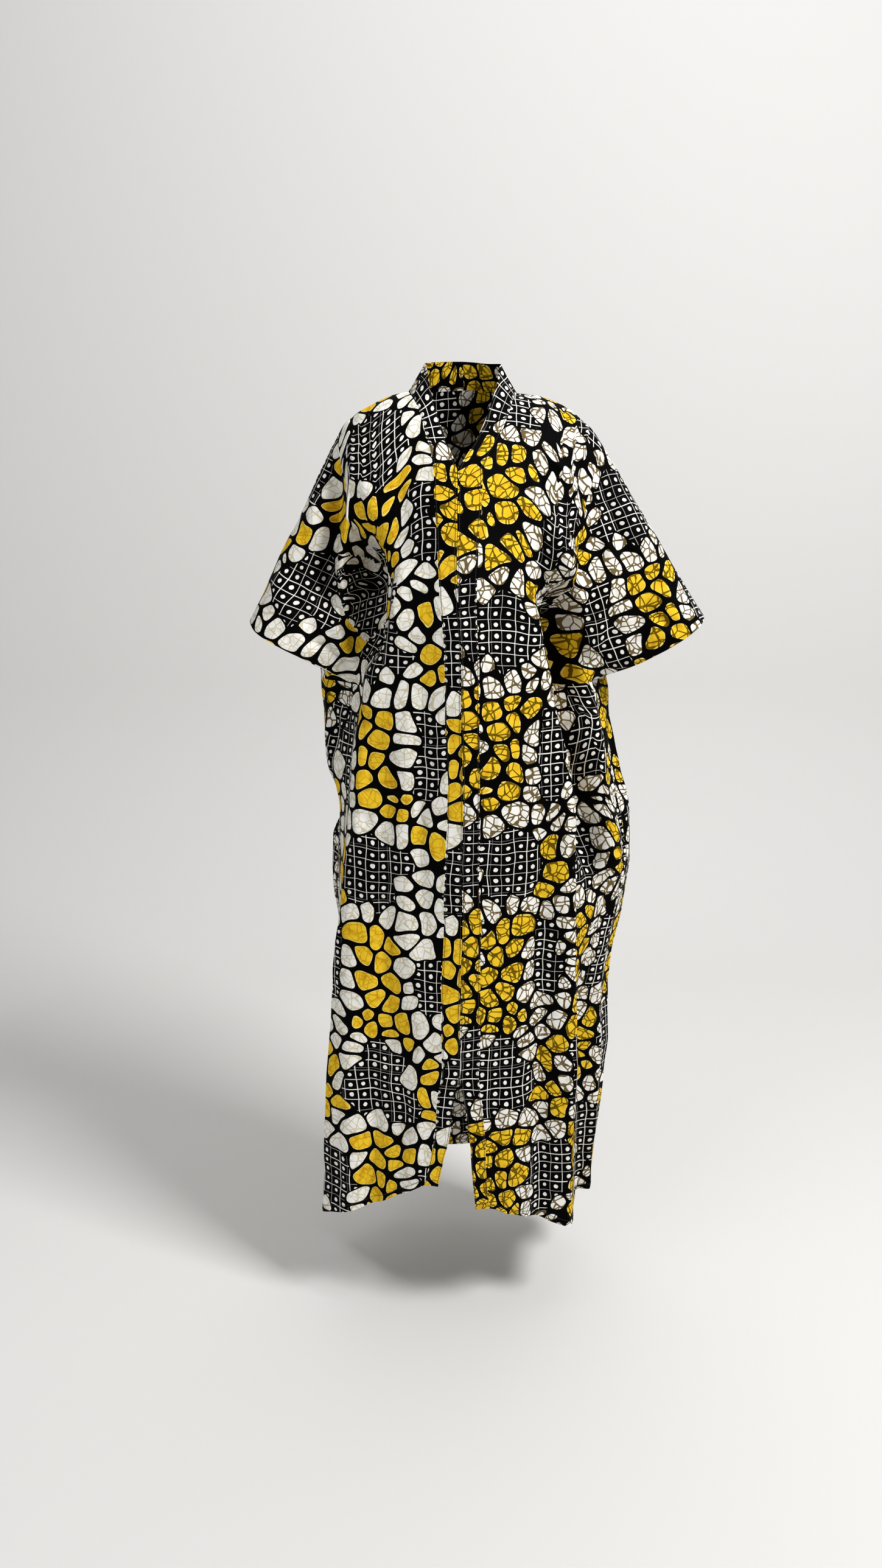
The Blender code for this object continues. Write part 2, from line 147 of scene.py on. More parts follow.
# The line along the shoulder and the top of the sleeve, from the neck to the corner of the sleeve.
TOP_LINE = {
    Side.RIGHT: Rows(
        "across x y z",
        (0.0, 0.081, 0.000, 0.000),
        (0.5, 0.111, 0.002, -0.006),
        (1.0, 0.140, 0.004, -0.019),
        (1.5, 0.165, 0.004, -0.034),
        (2.0, 0.188, 0.002, -0.060),
        (2.3, 0.229, -0.002, -0.140),
        (2.65, 0.279, -0.008, -0.237),
        (3.0, 0.328, -0.012, -0.331),
    ),
    Side.LEFT: Rows(
        "across x y z",
        (0.0, 0.081, 0.000, 0.000),
        (0.5, 0.115, 0.002, -0.004),
        (1.0, 0.150, 0.004, -0.018),
        (1.5, 0.179, 0.004, -0.039),
        (2.0, 0.207, 0.002, -0.071),
        (2.3, 0.256, -0.002, -0.146),
        (2.65, 0.314, -0.008, -0.240),
        (3.0, 0.371, -0.012, -0.329),
    ),
}

# The line of the band from the side of the neck to the underarm level: its seam, then its free edge.
BAND_LINE = {
    Side.RIGHT: Rows(
        "down x y z edge_x edge_y edge_z",
        (0.00, 0.081, 0.000, 0.000, 0.057, 0.012, 0.043),
        (0.06, 0.072, -0.028, -0.010, 0.051, -0.022, 0.018),
        (0.14, 0.061, -0.055, -0.034, 0.040, -0.046, -0.022),
        (0.25, 0.052, -0.080, -0.066, 0.025, -0.080, -0.068),
        (0.36, 0.043, -0.103, -0.107, 0.0093, -0.106, -0.112),
        (0.50, 0.036, -0.125, -0.158, 0.0093, -0.129, -0.160),
        (0.70, 0.035, -0.147, -0.248, 0.0083, -0.151, -0.249),
        (0.85, 0.028, -0.157, -0.335, 0.0048, -0.161, -0.336),
        (1.00, 0.025, -0.162, -0.430, 0.0028, -0.166, -0.430),
    ),
    Side.LEFT: Rows(
        "down x y z edge_x edge_y edge_z",
        (0.00, 0.081, 0.000, 0.000, 0.057, 0.012, 0.043),
        (0.06, 0.073, -0.028, -0.010, 0.050, -0.022, 0.014),
        (0.14, 0.064, -0.055, -0.034, 0.037, -0.050, -0.026),
        (0.25, 0.050, -0.080, -0.068, 0.019, -0.080, -0.068),
        (0.36, 0.029, -0.103, -0.107, -0.0087, -0.106, -0.112),
        (0.50, 0.020, -0.125, -0.158, -0.0087, -0.129, -0.160),
        (0.70, 0.019, -0.147, -0.248, -0.0077, -0.151, -0.249),
        (0.85, 0.022, -0.157, -0.335, -0.0042, -0.161, -0.336),
        (1.00, 0.024, -0.162, -0.430, -0.0022, -0.166, -0.430),
    ),
}

# The middle of the front and back. The free edges of the two bands meet on the line at x, down to
# the top of the slit.
CENTRE = Rows(
    "z x front_y back_y right_width left_width",
    (-1.36, -0.004, -0.190, 0.112, 0.0215, 0.0215),
    (-1.20, -0.004, -0.188, 0.110, 0.0215, 0.0220),
    (-1.00, -0.004, -0.181, 0.106, 0.0280, 0.0290),
    (-0.74, -0.002, -0.172, 0.102, 0.0270, 0.0270),
    (-0.57, -0.002, -0.167, 0.099, 0.0225, 0.0260),
    (-0.43, -0.003, -0.162, 0.098, 0.0230, 0.0260),
    (-0.25, -0.008, -0.149, 0.095, 0.0270, 0.0270),
    (-0.10, -0.009, -0.100, 0.090, 0.0340, 0.0360),
)
BAND_WIDTH = {Side.RIGHT: "right_width", Side.LEFT: "left_width"}
SLIT_TOP_Z = -1.02
SLIT = {
    Side.RIGHT: Rows(
        "z open",
        (-1.36, 0.062),
        (-1.22, 0.036),
        (-1.13, 0.018),
        (-1.06, 0.008),
        (SLIT_TOP_Z, 0.000),
    ),
    Side.LEFT: Rows(
        "z open",
        (-1.36, 0.034),
        (-1.25, 0.024),
        (-1.13, 0.013),
        (-1.06, 0.005),
        (SLIT_TOP_Z, 0.000),
    ),
}

# Level sections of the body below the underarm. x is measured out from the middle of the body.
SECTIONS = {
    Side.RIGHT: Rows(
        "z ridge_x ridge_y valley_x valley_y seam_x seam_y wing_x wing_y back_x back_y",
        (-1.36, 0.234, -0.130, 0.236, -0.085, 0.236, -0.030, 0.238, 0.030, 0.150, 0.104),
        (-1.20, 0.228, -0.130, 0.230, -0.085, 0.231, -0.030, 0.236, 0.030, 0.150, 0.103),
        (-1.05, 0.219, -0.130, 0.220, -0.085, 0.221, -0.030, 0.226, 0.030, 0.150, 0.102),
        (-0.86, 0.203, -0.128, 0.203, -0.085, 0.205, -0.030, 0.210, 0.025, 0.150, 0.100),
        (-0.76, 0.190, -0.126, 0.192, -0.085, 0.202, -0.032, 0.223, 0.022, 0.150, 0.098),
        (-0.69, 0.182, -0.125, 0.187, -0.085, 0.200, -0.035, 0.223, 0.020, 0.150, 0.098),
        (-0.62, 0.172, -0.126, 0.180, -0.085, 0.197, -0.038, 0.204, 0.012, 0.150, 0.097),
        (-0.56, 0.163, -0.127, 0.171, -0.080, 0.204, -0.034, 0.224, 0.020, 0.150, 0.096),
        (-0.50, 0.151, -0.127, 0.160, -0.078, 0.184, -0.040, 0.232, 0.020, 0.150, 0.094),
        (-0.43, 0.138, -0.124, 0.149, -0.072, 0.168, -0.040, 0.238, 0.020, 0.150, 0.090),
    ),
    Side.LEFT: Rows(
        "z ridge_x ridge_y valley_x valley_y seam_x seam_y wing_x wing_y back_x back_y",
        (-1.36, 0.184, -0.146, 0.190, -0.085, 0.217, -0.035, 0.226, 0.030, 0.150, 0.104),
        (-1.20, 0.180, -0.144, 0.188, -0.085, 0.227, -0.035, 0.248, 0.030, 0.150, 0.103),
        (-1.06, 0.175, -0.141, 0.187, -0.082, 0.233, -0.030, 0.258, 0.030, 0.150, 0.102),
        (-0.90, 0.169, -0.138, 0.191, -0.078, 0.232, -0.030, 0.261, 0.030, 0.150, 0.100),
        (-0.80, 0.165, -0.136, 0.209, -0.066, 0.250, -0.024, 0.274, 0.030, 0.150, 0.098),
        (-0.73, 0.162, -0.135, 0.211, -0.064, 0.264, -0.018, 0.278, 0.030, 0.150, 0.098),
        (-0.65, 0.159, -0.134, 0.200, -0.066, 0.254, -0.020, 0.274, 0.030, 0.150, 0.097),
        (-0.57, 0.156, -0.132, 0.187, -0.068, 0.235, -0.022, 0.264, 0.030, 0.150, 0.096),
        (-0.50, 0.152, -0.130, 0.174, -0.070, 0.217, -0.024, 0.250, 0.028, 0.150, 0.094),
        (-0.43, 0.147, -0.126, 0.156, -0.070, 0.204, -0.022, 0.236, 0.026, 0.150, 0.090),
    ),
}

# The level of the hem at each station, front and back.
HEM = {
    Side.RIGHT: Rows(
        "across front_z back_z",
        (0.0, -1.214, -1.322),
        (0.5, -1.270, -1.325),
        (1.0, -1.300, -1.330),
        (2.0, -1.315, -1.335),
        (3.0, -1.335, -1.335),
    ),
    Side.LEFT: Rows(
        "across front_z back_z",
        (0.0, -1.255, -1.322),
        (0.5, -1.287, -1.325),
        (1.0, -1.316, -1.328),
        (2.0, -1.318, -1.328),
        (3.0, -1.322, -1.322),
    ),
}

# The large folds of the solids, as lines seen from the front or the back: a ridge stands out by its
# height, and a trough has a negative one. Each fades out over its ends, and one that ends below the
# hem runs to it.
FOLD_COLUMNS = "x0 z0 x1 z1 width height"
FOLDS = {
    (Side.RIGHT, Face.FRONT): Rows(
        FOLD_COLUMNS,
        (0.172, -0.060, 0.180, -0.300, 0.020, 0.012),
        (0.195, -0.080, 0.200, -0.320, 0.016, -0.012),
        (0.150, -0.180, 0.146, -0.400, 0.026, -0.030),
        (0.108, -0.260, 0.138, -0.480, 0.018, 0.010),
        (0.085, -0.300, 0.120, -1.600, 0.030, 0.007),
        (0.070, -0.420, 0.165, -1.500, 0.026, -0.007),
        (0.260, -0.210, 0.235, -0.390, 0.022, -0.010),
    ),
    (Side.LEFT, Face.FRONT): Rows(
        FOLD_COLUMNS,
        (0.130, -0.070, 0.190, -0.220, 0.016, 0.007),
        (0.165, -0.080, 0.215, -0.280, 0.016, -0.010),
        (0.120, -0.180, 0.180, -0.320, 0.018, 0.009),
        (0.140, -0.250, 0.165, -0.480, 0.020, -0.016),
        (0.220, -0.240, 0.205, -0.400, 0.018, 0.010),
        (0.285, -0.220, 0.262, -0.400, 0.022, -0.009),
        (0.080, -0.320, 0.095, -1.600, 0.030, 0.006),
        (0.118, -0.500, 0.128, -1.600, 0.024, -0.007),
    ),
    (Side.RIGHT, Face.BACK): Rows(
        FOLD_COLUMNS,
        (0.060, -0.160, 0.075, -1.700, 0.028, -0.010),
        (0.105, -0.220, 0.125, -1.700, 0.030, 0.014),
        (0.165, -0.180, 0.160, -0.480, 0.024, -0.018),
        (0.175, -0.500, 0.185, -1.700, 0.024, -0.012),
        (0.235, -0.200, 0.215, -0.420, 0.022, 0.010),
    ),
    (Side.LEFT, Face.BACK): Rows(
        FOLD_COLUMNS,
        (0.045, -0.200, 0.060, -1.700, 0.026, -0.009),
        (0.095, -0.160, 0.110, -1.700, 0.030, 0.013),
        (0.160, -0.160, 0.172, -0.500, 0.024, -0.018),
        (0.168, -0.420, 0.190, -1.700, 0.026, -0.013),
        (0.250, -0.200, 0.230, -0.420, 0.022, 0.010),
    ),
}

# How the cloth leaves the top line, as slopes of each column.
TOP_SLOPE = Rows(
    "across y z",
    (0.0, 0.300, -0.060),
    (1.0, 0.330, -0.080),
    (2.0, 0.260, -0.120),
    (3.0, 0.260, -0.060),
)


def along(stations: np.ndarray, across: np.ndarray, rounding: float = 0.3) -> np.ndarray:
    """A line through the stations, rounded at each one.

    Args:
        stations: the value at each station, for each place.
        across: the place across.
        rounding: how far to each side of a station the line is rounded.

    Returns:
        The value at each place.
    """

    def straight(place: np.ndarray) -> np.ndarray:
        """The line before it is rounded.

        Args:
            place: the place across, which may lie past the ends.

        Returns:
            The value at each place.
        """
        last = len(stations) - 1
        inside = np.clip(place, 0, last)
        i = np.clip(inside.astype(int), 0, last - 1)
        here = np.take_along_axis(stations, i[None], 0)[0]
        after = np.take_along_axis(stations, i[None] + 1, 0)[0]
        return here + (inside - i + place - inside) * (after - here)

    return (straight(across - rounding) + 2 * straight(across) + straight(across + rounding)) / 4


def smooth_step(value: np.ndarray, low: float, high: float) -> np.ndarray:
    """0 below low, 1 above high and eased between; high may be the lower of the two."""
    t = np.clip((value - low) / (high - low), 0, 1)
    return t * t * (3 - 2 * t)


def grid_normals(points: np.ndarray) -> np.ndarray:
    """Unit normals of a grid of points, on the side that its rows and columns give."""
    normals = np.cross(np.gradient(points, axis=0), np.gradient(points, axis=1))
    return normals / np.maximum(np.linalg.norm(normals, axis=-1, keepdims=True), TINY)


@dataclass(frozen=True)
class RobeForm:
    """The worn form of the robe, from the same sizes as its solids."""

    underarm_z: float = -0.43
    neck_half_width: float = 0.081
    neck_back_y: float = 0.070
    neck_back_rise: float = 0.006
    collar_top_half_width: float = 0.057
    collar_top_front_y: float = 0.012
    collar_top_back_y: float = 0.058
    collar_top_z: float = 0.043
    shoulder_stations: tuple[float, ...] = (0.0, 1.0, 2.0, 3.0)
    back_stations: tuple[float, ...] = (0.6, 1.2, 2.0, 3.0)
    sleeve_hem_end: tuple[float, float, float] = (-0.160, 0.060, -0.080)
    back_sleeve_hem_end: tuple[float, float, float] = (-0.100, -0.180, -0.060)
    back_neck_slope: tuple[float, float, float] = (0.0, 0.120, -0.300)
    fall: float = 0.42
    v_end: float = 0.36
    band_forward: float = 0.004
    band_pull: float = 1.7
    centre_gap: float = 0.0008
    slope_step: float = 0.03
    sleeve_power: float = 1.5
    fold_fade: float = 0.2
    folds_from_centre: float = 3.0
    folds_from_seam: float = 4.0
    folds_from_top: float = 4.0

    def band_x(self, side: Side, z: np.ndarray, edge: bool) -> np.ndarray:
        """How far out a band's free edge, or its seam, lies from the middle.

        Args:
            side: whose band.
            z: the height.
            edge: True for the free edge.

        Returns:
            The distance at each height.
        """
        out = side.value * CENTRE.read("x", z) + self.centre_gap / 2
        out = out + np.maximum(SLIT[side].read("open", z), 0)
        return out if edge else out + CENTRE.read(BAND_WIDTH[side], z)

    def body_section(self, side: Side, face: Face, across: np.ndarray, z: np.ndarray) -> np.ndarray:
        """Points of the body's level section.

        Args:
            side, face: which quarter of the robe.
            across: the station of each point.
            z: its height.

        Returns:
            The points.
        """
        rows = SECTIONS[side]
        if face is Face.FRONT:
            first = (self.band_x(side, z, False), CENTRE.read("front_y", z))
            others = ("ridge", "valley", "seam")
        else:
            first = (0 * z, CENTRE.read("back_y", z))
            others = ("back", "wing", "seam")
        x = along(np.array([first[0]] + [rows.read(other + "_x", z) for other in others]), across)
        y = along(np.array([first[1]] + [rows.read(other + "_y", z) for other in others]), across)
        return np.stack([side.value * x, y, z], -1)

    def top_point(self, side: Side, across: np.ndarray) -> np.ndarray:
        """Points of the line along the shoulder and the top of the sleeve."""
        x, y, z = (TOP_LINE[side].read(axis, across) for axis in "xyz")
        return np.stack([side.value * x, y, z], -1)

    def neck_point(self, side: Side, turn: np.ndarray) -> np.ndarray:
        """The collar's seam round the back of the neck.

        Args:
            side: which half.
            turn: how far round, from 0 at the centre of the back to 1 at the side.

        Returns:
            The points.
        """
        angle = turn * np.pi / 2
        x = side.value * self.neck_half_width * np.sin(angle)
        return np.stack(
            [x, self.neck_back_y * np.cos(angle), self.neck_back_rise * np.cos(angle) ** 2], -1
        )

    def collar_top_point(self, side: Side, turn: np.ndarray) -> np.ndarray:
        """The top edge of the collar above neck_point.

        Args:
            side: which half.
            turn: how far round, from 0 at the centre of the back to 1 at the side.

        Returns:
            The points.
        """
        angle = turn * np.pi / 2
        depth = self.collar_top_back_y - self.collar_top_front_y
        x = side.value * self.collar_top_half_width * np.sin(angle)
        y = self.collar_top_front_y + depth * np.cos(angle)
        return np.stack([x, y, self.collar_top_z + self.neck_back_rise * np.cos(angle) ** 2], -1)

    def height(self, side: Side, face: Face, across: np.ndarray, down: np.ndarray) -> np.ndarray:
        """The height of a place below the underarm level, where down runs from 1 to 2."""
        hem = HEM[side].read("front_z" if face is Face.FRONT else "back_z", across)
        return hem * (down - 1) + self.underarm_z * (2 - down)

    def band_point(self, side: Side, down: np.ndarray, edge: str = "") -> np.ndarray:
        """The band's seam, or its free edge.

        Args:
            side: whose band.
            down: the place down the front.
            edge: "edge_" for the free edge.

        Returns:
            The points.
        """
        x, y, z = (BAND_LINE[side].read(edge + axis, down) for axis in "xyz")
        x = np.where(down < self.v_end, x, self.band_x(side, z, bool(edge)))
        upper = np.stack([side.value * x, y, z], -1)
        z = self.height(side, Face.FRONT, 0 * down, down)
        y = CENTRE.read("front_y", z) - (self.band_forward if edge else 0)
        lower = np.stack([side.value * self.band_x(side, z, bool(edge)), y, z], -1)
        return np.where(down[..., None] <= 1, upper, lower)

    def fold_height(self, rows: Rows, side: Side, points: np.ndarray) -> np.ndarray:
        """How far each point of one half is moved out by its folds.

        Args:
            rows: the folds.
            side: which half.
            points: the points before they are folded.

        Returns:
            The distance for each point.
        """
        total = np.zeros(points.shape[:-1])
        place = np.stack([side.value * points[..., 0], points[..., 2]], -1)
        for x0, z0, x1, z1, width, height in zip(*rows.columns.values()):
            run = np.array([x1 - x0, z1 - z0])
            part = np.clip((place - (x0, z0)) @ run / (run @ run), 0, 1)
            aside = ((place - (x0, z0) - part[..., None] * run) ** 2).sum(-1)
            ends = np.clip(part / self.fold_fade, 0, 1) * np.clip((1 - part) / self.fold_fade, 0, 1)
            total += height * ends * np.exp(-aside / width**2)
        return total

    def upper_half(
        self, side: Side, face: Face, station: np.ndarray, level: np.ndarray
    ) -> np.ndarray:
        """Points above the underarm: each column hangs from the top line to the underarm's section.

        Args:
            side, face: which quarter of the robe.
            station, level: the place of each point.

        Returns:
            The points.
        """
        ring = self.body_section(side, face, station, self.underarm_z + 0 * station)
        below = self.body_section(
            side, face, station, self.underarm_z - self.slope_step + 0 * station
        )
        end_slope = (below - ring) / self.slope_step * self.fall
        if face is Face.FRONT:
            shoulder, forward, sleeve_end = station, -1, self.sleeve_hem_end
            top = self.top_point(side, shoulder)
        else:
            first = self.back_stations[0]
            shoulder = np.interp(station, self.back_stations, self.shoulder_stations)
            forward, sleeve_end = 1, self.back_sleeve_hem_end
            neck = self.neck_point(side, np.clip(station / first, 0, 1))
            top = np.where((station < first)[..., None], neck, self.top_point(side, shoulder))
        y_slope = forward * TOP_SLOPE.read("y", shoulder)
        start_slope = np.stack([0 * station, y_slope, TOP_SLOPE.read("z", shoulder)], -1)
        if face is Face.BACK:
            near_neck = np.clip(1 - station / (2 * first), 0, 1)[..., None]
            start_slope = (
                start_slope * (1 - near_neck) + np.array(self.back_neck_slope) * near_neck
            )
        in_sleeve = np.clip(shoulder - 2, 0, 1)[..., None] ** self.sleeve_power
        sleeve_slope = np.array(sleeve_end) * (side.value, 1, 1)
        end_slope = end_slope * (1 - in_sleeve) + sleeve_slope * in_sleeve
        points = hermite(top, start_slope, ring, end_slope, level[..., None])
        if face is Face.FRONT:
            near_band = np.clip(1 - station / self.band_pull, 0, 1)[..., None] ** 2
            points = points + near_band * (self.band_point(side, level) - points[:, :1])
        return points

    def bare(
        self, side: Side, face: Face, station: np.ndarray, level: np.ndarray
    ) -> tuple[np.ndarray, np.ndarray]:
        """The grid of one half, front or back, before it is folded.

        Args:
            side, face: which quarter of the robe.
            station, level: the place of each point.

        Returns:
            Its points, rows by columns, and the way out of the robe at each one.
        """
        z = np.minimum(self.height(side, face, station, level), self.underarm_z)
        lower = self.body_section(side, face, station, z)
        upper = self.upper_half(side, face, station, np.clip(level, 0, 1))
        points = np.where((level <= 1)[..., None], upper, lower)
        facing = side.value if face is Face.FRONT else -side.value
        return points, facing * grid_normals(points)

    def folds(
        self, side: Side, face: Face, points: np.ndarray, station: np.ndarray, level: np.ndarray
    ) -> np.ndarray:
        """How far the large folds move each point out.

        Args:
            side, face: which quarter of the robe.
            points: the bare grid.
            station, level: the place of each point.

        Returns:
            The distances, with an axis for the coordinates.
        """
        from_centre = np.clip(station * self.folds_from_centre, 0, 1)
        from_seam = np.clip((3 - station) * self.folds_from_seam, 0, 1)
        fade = np.clip(level * self.folds_from_top, 0, 1) * (from_centre * from_seam)
        return (self.fold_height(FOLDS[side, face], side, points) * fade)[..., None]


@dataclass(frozen=True)
class Crease:
    """A crease along a line of points (x outwards, z), seen from the front or the back.

    A trough has a negative height. A step lifts what lies outwards of the line, or sinks it where it
    is negative, as where one fold lies over the next.
    """

    points: tuple[tuple[float, float], ...]
    width: float
    height: float = 0.0
    step: float = 0.0
    samples: int = 48
    fade: float = 0.35
    step_reach: float = 3.2
    step_edge: float = 1.6

    def shift(self, place: np.ndarray) -> np.ndarray:
        """How far out the crease moves each place.

        Args:
            place: x outwards and z of each point.

        Returns:
            The distance for each place.
        """
        points = np.array(self.points)
        at = np.linspace(0, 1, len(points))
        curve = Rows("at x z", *zip(at, *points.T))
        fine = np.linspace(0, 1, self.samples)
        line = np.stack([curve.read("x", fine), curve.read("z", fine)], -1)
        run = np.gradient(line, axis=0)
        length = np.linalg.norm(run, axis=-1)
        run = run / length[:, None]
        from_line = place[..., None, :] - line
        nearest = (from_line**2).sum(-1).argmin(-1)
        offset = np.take_along_axis(from_line, nearest[..., None, None], -2)[..., 0, :]
        run = run[nearest]
        forward = (offset * run).sum(-1) / length[nearest]
        part = np.clip((nearest + forward) / (self.samples - 1), 0, 1)
        aside = (offset[..., 1] * run[..., 0] - offset[..., 0] * run[..., 1]) / self.width
        ends = smooth_step(part, 0, self.fade) * smooth_step(part, 1, 1 - self.fade)
        ridge = self.height * np.exp(-(aside**2))
        step = self.step * np.tanh(aside * self.step_edge) * np.exp(-((aside / self.step_reach) ** 2))
        return (ridge + step) * ends


